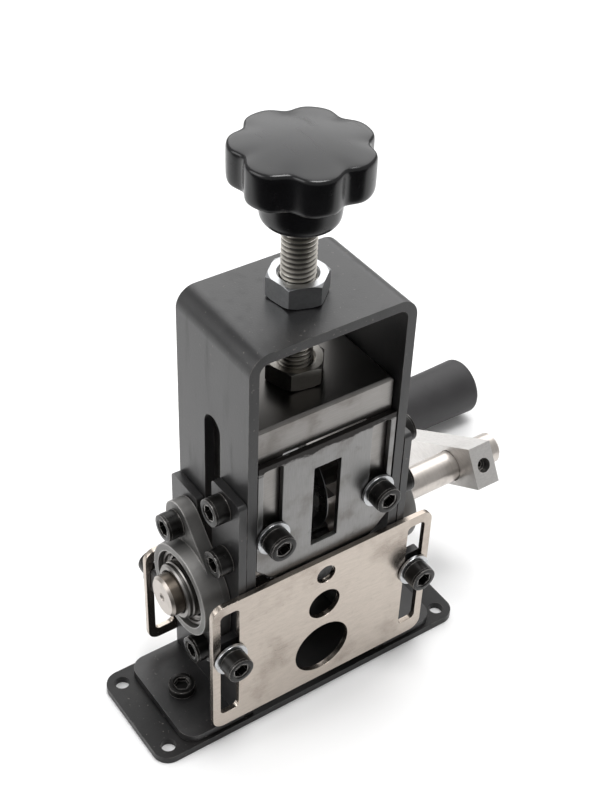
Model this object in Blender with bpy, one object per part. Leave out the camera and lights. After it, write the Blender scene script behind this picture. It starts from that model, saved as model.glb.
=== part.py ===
"""Hand crank wire stripper.

A bench tool that slits the jacket of a cable. The cable goes through a hole
in the guide plate and is pulled between a toothed feed roller, turned by the
crank, and a round blade that hangs in a carriage. The star knob turns a
threaded spindle in the top nut of the frame, which lowers the carriage.

Metres, +Z up. The origin is the centre of the underside of the base plate,
+X runs along the drive shaft towards the crank, and the cable enters from -Y.
"""

import math
from math import cos, pi, radians, sin, sqrt

import bmesh
import bpy
from mathutils import Matrix, Vector

# Clearances
SEAT_GAP = 0.0003
CUT_OVERRUN = 0.002

# Base plate
BASE_LENGTH = 0.133
BASE_DEPTH = 0.045
BASE_THICKNESS = 0.003
BASE_CORNER = 0.006
BASE_HOLE_INSET_X = 0.0059
BASE_HOLE_INSET_Y = 0.0057
BASE_HOLE_DIAMETER = 0.0055

# Frame: one strap bent to an upside-down U
FRAME_WIDTH = 0.0622
FRAME_DEPTH = 0.0423
STRAP_THICKNESS = 0.0036
FRAME_BEND_RADIUS = 0.007
SIDE_SLOT_WIDTH = 0.0094
SIDE_SLOT_TOP_ABOVE_AXLE = 0.0212

# Side brackets: wall, foot and bent tabs for the guide plates
BRACKET_THICKNESS = 0.003
BRACKET_DEPTH = 0.0427
BRACKET_FRONT_TOP_ABOVE_SHAFT = 0.05
BRACKET_REAR_TOP_ABOVE_SHAFT = 0.033
BRACKET_CORNER = 0.0015
FOOT_REACH = 0.0241
FOOT_CORNER = 0.006
TAB_REACH = 0.0098
TAB_HEIGHT = 0.0115
TAB_CORNER = 0.0015

# Screws, washers and nuts
M6_RADIUS = 0.003
M6_HEAD_RADIUS = 0.005
M6_HEAD_HEIGHT = 0.0056
M6_HEAD_BEVEL = 0.0005
M6_SOCKET_RADIUS = 0.0029
M6_SOCKET_DEPTH = 0.0032
BUTTON_HEAD_HEIGHT = 0.0032
WASHER_RADIUS = 0.0064
WASHER_THICKNESS = 0.0012
NUT_CHAMFER = 0.0009
FRAME_SCREW_INSET = 0.0092
UPPER_FRAME_SCREW_ABOVE_SHAFT = 0.0437
LOWER_FRAME_SCREW_ABOVE_SHAFT = 0.0217
LOWER_FRAME_SCREW_SHIFT = 0.0019

# Drive shaft
SHAFT_HEIGHT = 0.0593
JOURNAL_RADIUS = 0.0075
CRANK_END_RADIUS = 0.006
SHAFT_HOLE_RADIUS = 0.0105
SHAFT_STUB = 0.0067
SHAFT_END_REACH = 0.0105
SHAFT_CHAMFER = 0.001
SHOULDER_STANDOFF = 0.0005

# Feed roller on the drive shaft
ROLLER_RADIUS = 0.01
ROLLER_LENGTH = 0.024
ROLLER_TEETH = 24
ROLLER_TOOTH_DEPTH = 0.0008
ROLLER_GROOVE_WIDTH = 0.0034
ROLLER_GROOVE_DEPTH = 0.0012

# Flanged bearing units
BEARING_BOLT_SPACING = 0.0484
BEARING_TILT = radians(20.5)
BEARING_EAR_RADIUS = 0.0078
BEARING_FLANGE_THICKNESS = 0.0052
BEARING_RING_RADIUS = 0.0178
BEARING_RING_HEIGHT = 0.0101
BEARING_RING_CHAMFER = 0.001
BEARING_SEAT_RADIUS = 0.0143
BEARING_INSERT_RECESS = 0.0016
BEARING_INSERT_DEPTH = 0.0022
BEARING_LAND_RADIUS = 0.0112
INNER_RING_RADIUS = 0.0104
INNER_RING_PROUD = 0.0022
RING_CHAMFER = 0.0006

# Carriage
CARRIAGE_SIDE_GAP = 0.0011
CARRIAGE_DEPTH = 0.0372
CARRIAGE_TOP_THICKNESS = 0.013
CHEEK_THICKNESS = 0.01
CARRIAGE_TOP_ABOVE_AXLE = 0.0464
CHEEK_BELOW_AXLE = 0.0125
CARRIAGE_TOP_BEVEL = 0.0009
CARRIAGE_TRAVEL = 0.0208

# Blade and its axle
BLADE_RADIUS = 0.0188
BLADE_THICKNESS = 0.0024
BLADE_EDGE_THICKNESS = 0.0004
BLADE_BEVEL_WIDTH = 0.0035
BLADE_GAP = 0.0005
BLADE_OFFSET = 0.0025
AXLE_RADIUS = 0.004
AXLE_CHAMFER = 0.0006
SPACER_RADIUS = 0.007

# Guard plate on the front of the carriage
GUARD_SIDE_GAP = 0.0004
GUARD_THICKNESS = 0.002
GUARD_TOP_BELOW_CARRIAGE_TOP = 0.0131
GUARD_HEIGHT = 0.0566
GUARD_CHAMFER = 0.011
GUARD_CORNER = 0.001
GUARD_WINDOW_WIDTH = 0.0106
GUARD_WINDOW_HEIGHT = 0.035
GUARD_WINDOW_TOP_INSET = 0.0099
GUARD_SLOT_WIDTH = 0.0074
GUARD_SLOT_HEIGHT = 0.0339
GUARD_SLOT_TOP_INSET = 0.0023
GUARD_SLOT_INSET = 0.0058
GUARD_SCREW_FROM_SLOT_END = 0.0043

# Front and rear guide plates
GUIDE_WIDTH = 0.092
GUIDE_THICKNESS = 0.002
GUIDE_CORNER = 0.0045
GUIDE_SLOT_WIDTH = 0.0075
GUIDE_STRIP = 0.0031
GUIDE_SCREW_HEIGHT = 0.0438
FRONT_GUIDE_BOTTOM = 0.0085
FRONT_GUIDE_HEIGHT = 0.0615
FRONT_SLOT_BOTTOM_INSET = 0.0066
FRONT_SLOT_TOP_INSET = 0.0042
REAR_GUIDE_BOTTOM = 0.0125
REAR_GUIDE_HEIGHT = 0.0455
REAR_SLOT_END_INSET = 0.0046
CABLE_HOLE_DIAMETERS = (0.0228, 0.013, 0.0077)
CABLE_HOLE_HEIGHT_SHARES = (0.267, 0.635, 0.877)

# Spindle, its nuts and the star knob
SPINDLE_RADIUS = 0.0057
SPINDLE_NECK_RADIUS = 0.005
SPINDLE_NECK_TAIL = 0.0006
THREAD_RUNNING_GAP = 0.0003
FRAME_HOLE_RADIUS = 0.0066
TOP_NUT_ACROSS_FLATS = 0.018
TOP_NUT_HEIGHT = 0.0076
TOP_NUT_TURN = radians(10.2)
COLLAR_NUT_HEIGHT = 0.007
COLLAR_NUT_TURN = radians(20.0)
RETAINING_NUT_ACROSS_FLATS = 0.017
RETAINING_NUT_HEIGHT = 0.0068
KNOB_CLEARANCE = 0.0188
KNOB_RADIUS = 0.0223
KNOB_LOBES = 7
KNOB_LOBE_DEPTH = 0.0036
KNOB_LOBE_TURN = radians(45.1)
KNOB_HUB_RADIUS = 0.0128
KNOB_HUB_HEIGHT = 0.014
KNOB_HUB_ROUNDING = 0.0047
KNOB_RIM_HEIGHT = 0.0108
KNOB_DOME_HEIGHT = 0.0028
KNOB_ROUNDING = 0.0026
KNOB_DOME_SHARES = (0.3, 0.6, 0.85)
KNOB_THREAD_DEPTH = 0.0155

# Crank
ARM_INNER_FACE = 0.0738
ARM_THICKNESS = 0.01
ARM_LENGTH = 0.0895
ARM_HUB_HEIGHT = 0.0162
ARM_TIP_HEIGHT = 0.015
ARM_NOSE = 0.015
ARM_CORNER = 0.0012
ARM_DROOP = radians(30.5)
SET_SCREW_RADIUS = 0.0025
SET_SCREW_LENGTH = 0.0055
SET_SCREW_SINK = 0.0012
PIN_RADIUS = 0.004
PIN_REACH = 0.052
PIN_NUT_ACROSS_FLATS = 0.013
PIN_NUT_HEIGHT = 0.005
GRIP_RADIUS = 0.0125
GRIP_LENGTH = 0.063
GRIP_STANDOFF = 0.0018
GRIP_ROUNDING = 0.004
GRIP_WAIST = 0.0007

# Steps round a full circle, by the size of the piece
FINE_STEPS = 32
ROUND_STEPS = 24
SMALL_STEPS = 14
TINY_STEPS = 12
KNOB_STEPS_PER_LOBE = 8

# Places that follow from the sizes above
WALL_OUTER = FRAME_WIDTH / 2
WALL_INNER = WALL_OUTER - STRAP_THICKNESS
BRACKET_INNER = WALL_OUTER + SEAT_GAP
BRACKET_OUTER = BRACKET_INNER + BRACKET_THICKNESS
BEARING_SEAT = BRACKET_OUTER + SEAT_GAP
BEARING_FACE = BEARING_SEAT + BEARING_RING_HEIGHT
FOOT_BOTTOM = BASE_THICKNESS + SEAT_GAP
FOOT_TOP = FOOT_BOTTOM + BRACKET_THICKNESS
BRACKET_FRONT = -BRACKET_DEPTH / 2
BRACKET_FRONT_TOP = SHAFT_HEIGHT + BRACKET_FRONT_TOP_ABOVE_SHAFT
BRACKET_REAR_TOP = SHAFT_HEIGHT + BRACKET_REAR_TOP_ABOVE_SHAFT
SHAFT_AXIS = Vector((0.0, 0.0, SHAFT_HEIGHT))
BLADE_HEIGHT = SHAFT_HEIGHT + ROLLER_RADIUS + BLADE_GAP + BLADE_RADIUS
BLADE_AXIS = Vector((0.0, 0.0, BLADE_HEIGHT))
CARRIAGE_HALF = WALL_INNER - CARRIAGE_SIDE_GAP
CARRIAGE_TOP = BLADE_HEIGHT + CARRIAGE_TOP_ABOVE_AXLE
CARRIAGE_UNDERSIDE = CARRIAGE_TOP - CARRIAGE_TOP_THICKNESS
CARRIAGE_FRONT = -CARRIAGE_DEPTH / 2
COLLAR_NUT_BOTTOM = CARRIAGE_TOP + SEAT_GAP
FRAME_UNDERSIDE = COLLAR_NUT_BOTTOM + COLLAR_NUT_HEIGHT + CARRIAGE_TRAVEL
FRAME_HEIGHT = FRAME_UNDERSIDE + STRAP_THICKNESS
SIDE_SLOT_TOP = BLADE_HEIGHT + CARRIAGE_TRAVEL + SIDE_SLOT_TOP_ABOVE_AXLE
CHEEK_INNER = CARRIAGE_HALF - CHEEK_THICKNESS
GUARD_BACK = CARRIAGE_FRONT - SEAT_GAP
GUARD_FRONT = GUARD_BACK - GUARD_THICKNESS
GUARD_HALF = WALL_INNER - GUARD_SIDE_GAP
GUARD_TOP = CARRIAGE_TOP - GUARD_TOP_BELOW_CARRIAGE_TOP
GUARD_SLOT_X = GUARD_HALF - GUARD_SLOT_INSET
GUARD_SLOT_TOP = GUARD_TOP - GUARD_SLOT_TOP_INSET
GUARD_SLOT_BOTTOM = GUARD_SLOT_TOP - GUARD_SLOT_HEIGHT
GUARD_SCREW_HEIGHT = GUARD_SLOT_BOTTOM + GUARD_SCREW_FROM_SLOT_END
GUIDE_BACK = BRACKET_FRONT - SEAT_GAP
GUIDE_FRONT = GUIDE_BACK - GUIDE_THICKNESS
GUIDE_SLOT_X = GUIDE_WIDTH / 2 - GUIDE_STRIP - GUIDE_SLOT_WIDTH / 2
TAB_OUTER = BRACKET_OUTER + TAB_REACH
FRAME_SCREW_Y = BRACKET_FRONT + FRAME_SCREW_INSET
TOP_NUT_BOTTOM = FRAME_HEIGHT + SEAT_GAP
KNOB_BOTTOM = TOP_NUT_BOTTOM + TOP_NUT_HEIGHT + KNOB_CLEARANCE
KNOB_UNDERSIDE = KNOB_BOTTOM + KNOB_HUB_HEIGHT
KNOB_RIM_TOP = KNOB_UNDERSIDE + KNOB_RIM_HEIGHT
RETAINING_NUT_TOP = CARRIAGE_UNDERSIDE - SEAT_GAP
ARM_OUTER_FACE = ARM_INNER_FACE + ARM_THICKNESS
ARM_DIRECTION = Vector((0.0, cos(ARM_DROOP), -sin(ARM_DROOP)))
GRIP_AXIS = SHAFT_AXIS + ARM_DIRECTION * ARM_LENGTH
GRIP_START = ARM_OUTER_FACE + GRIP_STANDOFF

SIDES = (("left", -1), ("right", 1))


# Materials

def material(name, colour, roughness, metallic):
    """A Principled material of one colour."""
    made = bpy.data.materials.new(name)
    made.use_nodes = True
    shader = made.node_tree.nodes["Principled BSDF"]
    shader.inputs["Base Color"].default_value = (*colour, 1.0)
    shader.inputs["Roughness"].default_value = roughness
    shader.inputs["Metallic"].default_value = metallic
    return made


def make_materials():
    """Every finish of the machine, by name."""
    return {
        "black_paint": material("black_paint", (0.02, 0.02, 0.023), 0.5, 0.3),
        "bare_steel": material("bare_steel", (0.52, 0.51, 0.5), 0.42, 0.9),
        "stainless": material("stainless", (0.6, 0.57, 0.53), 0.3, 1.0),
        "bright_zinc": material("bright_zinc", (0.66, 0.69, 0.73), 0.28, 0.95),
        "die_cast": material("die_cast", (0.42, 0.42, 0.42), 0.5, 0.8),
        "bearing_steel": material("bearing_steel", (0.56, 0.55, 0.53), 0.22, 1.0),
        "black_oxide": material("black_oxide", (0.03, 0.03, 0.03), 0.4, 0.7),
        "knob_plastic": material("knob_plastic", (0.012, 0.012, 0.014), 0.22, 0.0),
        "grip_plastic": material("grip_plastic", (0.04, 0.04, 0.042), 0.6, 0.0),
        "cast_aluminium": material("cast_aluminium", (0.62, 0.61, 0.59), 0.45, 0.85),
        "tool_steel": material("tool_steel", (0.32, 0.32, 0.33), 0.3, 1.0),
    }


# Outlines: lists of points in a plane, counter-clockwise

def arc(centre, radius, start, end, steps):
    """Points on an arc from one angle to another, both ends included."""
    points = []
    for step in range(steps + 1):
        angle = start + (end - start) * step / steps
        points.append((centre[0] + radius * cos(angle), centre[1] + radius * sin(angle)))
    return points


def circle(centre, radius, steps):
    """Points of a full circle."""
    return arc(centre, radius, 0.0, 2 * pi * (steps - 1) / steps, steps - 1)


def rounded_rectangle(low, high, radius, steps=4):
    """A rectangle with four round corners."""
    centres = ((high[0] - radius, high[1] - radius), (low[0] + radius, high[1] - radius),
               (low[0] + radius, low[1] + radius), (high[0] - radius, low[1] + radius))
    points = []
    for corner, centre in enumerate(centres):
        points += arc(centre, radius, corner * pi / 2, (corner + 1) * pi / 2, steps)
    return points


def keyhole(slot_half, slot_top, hole_radius, hole_height, steps):
    """A slot with a round top that runs down into a round hole."""
    opening = math.asin(slot_half / hole_radius)
    points = arc((0.0, slot_top - slot_half), slot_half, 0.0, pi, steps // 3)
    points += arc((0.0, hole_height), hole_radius, pi / 2 + opening,
                  2 * pi + pi / 2 - opening, steps)
    return points


# Meshes and objects

def in_plane(plane, a, b, depth):
    """A point of a plane, named by its two axes, at a depth along the third."""
    return {"XY": (a, b, depth), "XZ": (a, depth, b), "YZ": (depth, a, b)}[plane]


def add_prism(bm, outline, plane, start, end):
    """Extrudes an outline from one depth to another."""
    lower = [bm.verts.new(in_plane(plane, a, b, start)) for a, b in outline]
    upper = [bm.verts.new(in_plane(plane, a, b, end)) for a, b in outline]
    bm.faces.new(lower)
    bm.faces.new(upper)
    for index in range(len(outline)):
        following = (index + 1) % len(outline)
        bm.faces.new((lower[index], lower[following], upper[following], upper[index]))


def add_loft(bm, rings, closed=False):
    """Skins a list of rings with as many points each; the ends are capped unless closed."""
    loops = [[bm.verts.new(point) for point in ring] for ring in rings]
    pairs = list(zip(loops, loops[1:]))
    if closed:
        pairs.append((loops[-1], loops[0]))
    else:
        bm.faces.new(loops[0])
        bm.faces.new(loops[-1])
    for lower, upper in pairs:
        for index in range(len(lower)):
            following = (index + 1) % len(lower)
            bm.faces.new((lower[index], lower[following], upper[following], upper[index]))


def frame_of(axis):
    """Two directions square to an axis, and the axis."""
    along = Vector(axis).normalized()
    side = along.orthogonal().normalized()
    return side, along.cross(side), along


def add_turned(bm, profile, origin, axis, steps, bored=False):
    """Turns a profile of (distance along the axis, radius) pairs round the axis.

    A solid profile runs from one end to the other; a bored one is a closed loop.
    """
    side, other, along = frame_of(axis)
    rings = []
    for distance, radius in profile:
        centre = Vector(origin) + along * distance
        ring = []
        for step in range(steps):
            angle = 2 * pi * step / steps
            ring.append(centre + (side * cos(angle) + other * sin(angle)) * radius)
        rings.append(ring)
    add_loft(bm, rings, closed=bored)


def rod_profile(start, end, radius, chamfer):
    """The profile of a plain rod with chamfered ends."""
    return [(start, radius - chamfer), (start + chamfer, radius),
            (end - chamfer, radius), (end, radius - chamfer)]


def ring_profile(start, end, inner, outer, chamfer):
    """The profile of a bored ring with a chamfered edge at its far end."""
    return [(start, inner), (start, outer), (end - chamfer, outer), (end, outer - chamfer), (end, inner)]


def mesh_object(name, bm):
    """An object from a mesh whose faces are turned outwards."""
    bmesh.ops.recalc_face_normals(bm, faces=bm.faces)
    mesh = bpy.data.meshes.new(name)
    bm.to_mesh(mesh)
    bm.free()
    made = bpy.data.objects.new(name, mesh)
    bpy.context.collection.objects.link(made)
    return made


def finish(made, finish_material, smooth_angle=radians(32.0)):
    """Gives a piece its material and smooths its round faces."""
    made.data.materials.append(finish_material)
    made.data.shade_smooth()
    made.data.set_sharp_from_angle(angle=smooth_angle)
    return made


def combine(target, tool, operation):
    """A Boolean on the target; the tool is only a guide."""
    tool.hide_render = True
    tool.display_type = "WIRE"
    step = target.modifiers.new(tool.name, "BOOLEAN")
    step.operation = operation
    step.solver = "EXACT"
    step.object = tool


def cut(target, bm):
    """Cuts away a mesh from the target."""
    combine(target, mesh_object(target.name + "_cut", bm), "DIFFERENCE")


def join(target, bm):
    """Joins a mesh to the target."""
    combine(target, mesh_object(target.name + "_join", bm), "UNION")


def axis_empty(name, place):
    """An empty on a joint's axis."""
    made = bpy.data.objects.new(name, None)
    made.location = place
    bpy.context.collection.objects.link(made)
    return made


def carry(pieces, parent):
    """Parents pieces to an empty without moving them."""
    for piece in pieces:
        piece.parent = parent
        piece.matrix_parent_inverse = Matrix.Translation(-Vector(parent.location))


# Fasteners

def socket_screw(name, seat, axis, length, finish_material, head_height=M6_HEAD_HEIGHT):
    """A socket head screw: its head stands on the seat, along the axis."""
    profile = [(-length, M6_RADIUS), (0.0, M6_RADIUS), (0.0, M6_HEAD_RADIUS),
               (head_height - M6_HEAD_BEVEL, M6_HEAD_RADIUS),
               (head_height, M6_HEAD_RADIUS - M6_HEAD_BEVEL)]
    bm = bmesh.new()
    add_turned(bm, profile, seat, axis, SMALL_STEPS)
    made = mesh_object(name, bm)
    floor = head_height - min(M6_SOCKET_DEPTH, head_height / 2)
    socket = bmesh.new()
    add_turned(socket, [(floor, M6_SOCKET_RADIUS), (head_height + CUT_OVERRUN, M6_SOCKET_RADIUS)],
               seat, axis, 6)
    cut(made, socket)
    return finish(made, finish_material)


def flat_washer(name, seat, axis, finish_material):
    """A flat washer that lies on its seat, along the axis."""
    bm = bmesh.new()
    profile = [(0.0, M6_RADIUS + SEAT_GAP), (0.0, WASHER_RADIUS),
               (WASHER_THICKNESS, WASHER_RADIUS), (WASHER_THICKNESS, M6_RADIUS + SEAT_GAP)]
    add_turned(bm, profile, seat, axis, SMALL_STEPS, bored=True)
    return finish(mesh_object(name, bm), finish_material)


def hex_nut(name, base, axis, across_flats, height, bore_radius, turn, finish_material):
    """A hexagon nut with chamfered corners on both faces, on its base along the axis."""
    side, other, along = frame_of(axis)
    corner = across_flats / sqrt(3)
    bm = bmesh.new()
    rings = []
    for distance in (0.0, height):
        centre = Vector(base) + along * distance
        rings.append([centre + (side * cos(turn + k * pi / 3) + other * sin(turn + k * pi / 3)) * corner
                      for k in range(6)])
    add_loft(bm, rings)
    made = mesh_object(name, bm)
    round_off = bmesh.new()
    add_turned(round_off, rod_profile(0.0, height, corner, NUT_CHAMFER), base, axis, ROUND_STEPS)
    combine(made, mesh_object(name + "_rounding", round_off), "INTERSECT")
    bore = bmesh.new()
    add_turned(bore, [(-CUT_OVERRUN, bore_radius), (height + CUT_OVERRUN, bore_radius)], base, axis,
               ROUND_STEPS)
    cut(made, bore)
    return finish(made, finish_material)


# Base, frame and brackets

def add_cross_holes(bm, places, radius, start, end, steps=TINY_STEPS):
    """Round cutters along X at places given as (y, z)."""
    for y, z in places:
        add_turned(bm, [(start, radius), (end, radius)], (0.0, y, z), (1.0, 0.0, 0.0), steps)


def bearing_bolt_places():
    """The two bolts of a bearing unit, as (y, z), the upper one leaning back."""
    half = BEARING_BOLT_SPACING / 2
    lean = Vector((sin(BEARING_TILT), cos(BEARING_TILT))) * half
    return ((lean.x, SHAFT_HEIGHT + lean.y), (-lean.x, SHAFT_HEIGHT - lean.y))


def frame_screw_places():
    """The two screws that hold a bracket to the frame, as (y, z)."""
    return ((FRAME_SCREW_Y, SHAFT_HEIGHT + UPPER_FRAME_SCREW_ABOVE_SHAFT),
            (FRAME_SCREW_Y - LOWER_FRAME_SCREW_SHIFT, SHAFT_HEIGHT + LOWER_FRAME_SCREW_ABOVE_SHAFT))


def base_plate(materials):
    """The long base with a hole in each corner."""
    bm = bmesh.new()
    half = (BASE_LENGTH / 2, BASE_DEPTH / 2)
    add_prism(bm, rounded_rectangle((-half[0], -half[1]), half, BASE_CORNER, 4), "XY",
              0.0, BASE_THICKNESS)
    made = mesh_object("base_plate", bm)
    holes = bmesh.new()
    for x_side in (-1, 1):
        for y_side in (-1, 1):
            place = (x_side * (BASE_LENGTH / 2 - BASE_HOLE_INSET_X),
                     y_side * (BASE_DEPTH / 2 - BASE_HOLE_INSET_Y))
            add_prism(holes, circle(place, BASE_HOLE_DIAMETER / 2, TINY_STEPS), "XY",
                      -CUT_OVERRUN, BASE_THICKNESS + CUT_OVERRUN)
        add_prism(holes, circle((x_side * foot_screw_x(), 0.0), M6_RADIUS + SEAT_GAP, SMALL_STEPS),
                  "XY", -CUT_OVERRUN, BASE_THICKNESS + CUT_OVERRUN)
    cut(made, holes)
    return finish(made, materials["black_paint"])


def foot_screw_x():
    """The screw stands in the middle of the free part of the foot."""
    return BRACKET_OUTER + (FOOT_REACH - BRACKET_THICKNESS) / 2


def main_frame(materials):
    """The bent strap, with a slot in each leg and a hole for the spindle."""
    outer = arc((WALL_OUTER - FRAME_BEND_RADIUS, FRAME_HEIGHT - FRAME_BEND_RADIUS),
                FRAME_BEND_RADIUS, 0.0, pi / 2, 6)
    inner_radius = max(FRAME_BEND_RADIUS - STRAP_THICKNESS, STRAP_THICKNESS / 2)
    inner_centre = (WALL_INNER - inner_radius, FRAME_HEIGHT - STRAP_THICKNESS - inner_radius)
    inner = arc(inner_centre, inner_radius, 0.0, pi / 2, 4)
    outline = [(WALL_OUTER, FOOT_BOTTOM)] + outer
    outline += [(-x, z) for x, z in reversed(outer)] + [(-WALL_OUTER, FOOT_BOTTOM)]
    outline += [(-WALL_INNER, FOOT_BOTTOM)] + [(-x, z) for x, z in inner]
    outline += list(reversed(inner)) + [(WALL_INNER, FOOT_BOTTOM)]
    bm = bmesh.new()
    add_prism(bm, outline, "XZ", -FRAME_DEPTH / 2, FRAME_DEPTH / 2)
    made = mesh_object("main_frame", bm)
    reach = WALL_OUTER + CUT_OVERRUN
    openings = bmesh.new()
    add_prism(openings, keyhole(SIDE_SLOT_WIDTH / 2, SIDE_SLOT_TOP, SHAFT_HOLE_RADIUS,
                                SHAFT_HEIGHT, 18), "YZ", -reach, reach)
    add_prism(openings, circle((0.0, 0.0), FRAME_HOLE_RADIUS, ROUND_STEPS), "XY",
              FRAME_HEIGHT - STRAP_THICKNESS - CUT_OVERRUN, FRAME_HEIGHT + CUT_OVERRUN)
    add_cross_holes(openings, bearing_bolt_places() + frame_screw_places(), M6_RADIUS + SEAT_GAP,
                    -reach, reach)
    cut(made, openings)
    return finish(made, materials["black_paint"])


def bracket_wall():
    """The wall of a bracket in the YZ plane: a tall front bar, a lower rear bar, a slot between."""
    back = BRACKET_DEPTH / 2
    slot = SIDE_SLOT_WIDTH / 2
    round_corner = BRACKET_CORNER
    opening = math.asin(slot / SHAFT_HOLE_RADIUS)
    outline = [(BRACKET_FRONT, FOOT_BOTTOM), (back, FOOT_BOTTOM)]
    outline += arc((back - round_corner, BRACKET_REAR_TOP - round_corner), round_corner, 0.0, pi / 2, 3)
    outline += [(slot, BRACKET_REAR_TOP)]
    outline += arc((0.0, SHAFT_HEIGHT), SHAFT_HOLE_RADIUS, pi / 2 - opening,
                   pi / 2 + opening - 2 * pi, 18)
    outline += [(-slot, BRACKET_FRONT_TOP)]
    outline += arc((BRACKET_FRONT + round_corner, BRACKET_FRONT_TOP - round_corner), round_corner,
                   pi / 2, pi, 3)
    return outline


def bracket(name, side, materials):
    """A side bracket: wall, foot, and a tab at each end that carries a guide plate."""
    bm = bmesh.new()
    add_prism(bm, bracket_wall(), "YZ", side * BRACKET_INNER, side * BRACKET_OUTER)
    made = mesh_object(name, bm)
    joined = bmesh.new()
    root = BRACKET_INNER + BRACKET_THICKNESS / 2
    foot_end = BRACKET_INNER + FOOT_REACH
    outer_corners = arc((foot_end - FOOT_CORNER, BRACKET_DEPTH / 2 - FOOT_CORNER), FOOT_CORNER,
                        0.0, pi / 2, 5)
    foot = [(x, -y) for x, y in reversed(outer_corners)] + outer_corners
    foot += [(root, BRACKET_DEPTH / 2), (root, BRACKET_FRONT)]
    add_prism(joined, [(side * x, y) for x, y in foot], "XY", FOOT_BOTTOM, FOOT_TOP)
    for end in (-1, 1):
        face = end * BRACKET_DEPTH / 2
        tab = [(root, GUIDE_SCREW_HEIGHT - TAB_HEIGHT / 2)]
        tab += arc((TAB_OUTER - TAB_CORNER, GUIDE_SCREW_HEIGHT - TAB_HEIGHT / 2 + TAB_CORNER),
                   TAB_CORNER, -pi / 2, 0.0, 3)
        tab += arc((TAB_OUTER - TAB_CORNER, GUIDE_SCREW_HEIGHT + TAB_HEIGHT / 2 - TAB_CORNER),
                   TAB_CORNER, 0.0, pi / 2, 3)
        tab += [(root, GUIDE_SCREW_HEIGHT + TAB_HEIGHT / 2)]
        add_prism(joined, [(side * x, z) for x, z in tab], "XZ", face,
                  face - end * BRACKET_THICKNESS)
    join(made, joined)
    holes = bmesh.new()
    add_cross_holes(holes, bearing_bolt_places() + frame_screw_places(), M6_RADIUS + SEAT_GAP,
                    side * (BRACKET_INNER - CUT_OVERRUN), side * (BRACKET_OUTER + CUT_OVERRUN))
    add_prism(holes, circle((side * foot_screw_x(), 0.0), M6_RADIUS + SEAT_GAP, SMALL_STEPS), "XY",
              FOOT_BOTTOM - CUT_OVERRUN, FOOT_TOP + CUT_OVERRUN)
    for end in (-1, 1):
        face = end * (BRACKET_DEPTH / 2 + CUT_OVERRUN)
        depth = end * (BRACKET_THICKNESS + 2 * CUT_OVERRUN)
        add_prism(holes, circle((side * GUIDE_SLOT_X, GUIDE_SCREW_HEIGHT), M6_RADIUS + SEAT_GAP,
                                TINY_STEPS), "XZ", face, face - depth)
    cut(made, holes)
    return finish(made, materials["black_paint"])


def fixed_screws(materials):
    """The screws of the brackets, feet and bearing units."""
    black = materials["black_oxide"]
    through = BRACKET_THICKNESS + STRAP_THICKNESS + SEAT_GAP
    bolt_length = BEARING_FLANGE_THICKNESS + SEAT_GAP + through + SEAT_GAP
    for name, side in SIDES:
        outward = (side, 0.0, 0.0)
        bolt_seat = side * (BEARING_SEAT + BEARING_FLANGE_THICKNESS + SEAT_GAP)
        screw_seat = side * (BRACKET_OUTER + SEAT_GAP)
        for level, (y, z) in zip(("upper", "lower"), bearing_bolt_places()):
            socket_screw(f"{name}_bearing_bolt_{level}", (bolt_seat, y, z), outward, bolt_length, black)
        for level, (y, z) in zip(("upper", "lower"), frame_screw_places()):
            socket_screw(f"{name}_frame_screw_{level}", (screw_seat, y, z), outward, through, black)
        socket_screw(name + "_foot_screw", (side * foot_screw_x(), 0.0, FOOT_TOP + SEAT_GAP),
                     (0.0, 0.0, 1.0), BRACKET_THICKNESS + BASE_THICKNESS, black, BUTTON_HEAD_HEIGHT)


# Bearing units

def bearing_housing(name, side, materials):
    """A cast flange with two ears and a round ring."""
    ears = bearing_bolt_places()
    ring = (0.0, SHAFT_HEIGHT)
    half = BEARING_BOLT_SPACING / 2
    spread = math.acos((BEARING_RING_RADIUS - BEARING_EAR_RADIUS) / half)
    ear_angle = math.atan2(ears[0][1] - SHAFT_HEIGHT, ears[0][0])
    outline = []
    for turn, ear in ((0.0, ears[0]), (pi, ears[1])):
        middle = ear_angle + turn
        outline += arc(ear, BEARING_EAR_RADIUS, middle - spread, middle + spread, 8)
        outline += arc(ring, BEARING_RING_RADIUS, middle + spread, middle + pi - spread, 6)
    bm = bmesh.new()
    add_prism(bm, outline, "YZ", side * BEARING_SEAT,
              side * (BEARING_SEAT + BEARING_FLANGE_THICKNESS))
    made = mesh_object(name, bm)
    root = BEARING_SEAT + BEARING_FLANGE_THICKNESS / 2
    outward = (side, 0.0, 0.0)
    boss = bmesh.new()
    add_turned(boss, [(root, BEARING_RING_RADIUS - BEARING_RING_CHAMFER),
                      (BEARING_FACE - BEARING_RING_CHAMFER, BEARING_RING_RADIUS - BEARING_RING_CHAMFER),
                      (BEARING_FACE, BEARING_RING_RADIUS - 2 * BEARING_RING_CHAMFER)],
               SHAFT_AXIS, outward, FINE_STEPS)
    join(made, boss)
    holes = bmesh.new()
    add_turned(holes, [(BEARING_SEAT - CUT_OVERRUN, BEARING_SEAT_RADIUS),
                       (BEARING_FACE + CUT_OVERRUN, BEARING_SEAT_RADIUS)],
               SHAFT_AXIS, outward, FINE_STEPS)
    add_cross_holes(holes, ears, M6_RADIUS + SEAT_GAP, side * (BEARING_SEAT - CUT_OVERRUN),
                    side * (BEARING_FACE + CUT_OVERRUN))
    cut(made, holes)
    return finish(made, materials["die_cast"])


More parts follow.
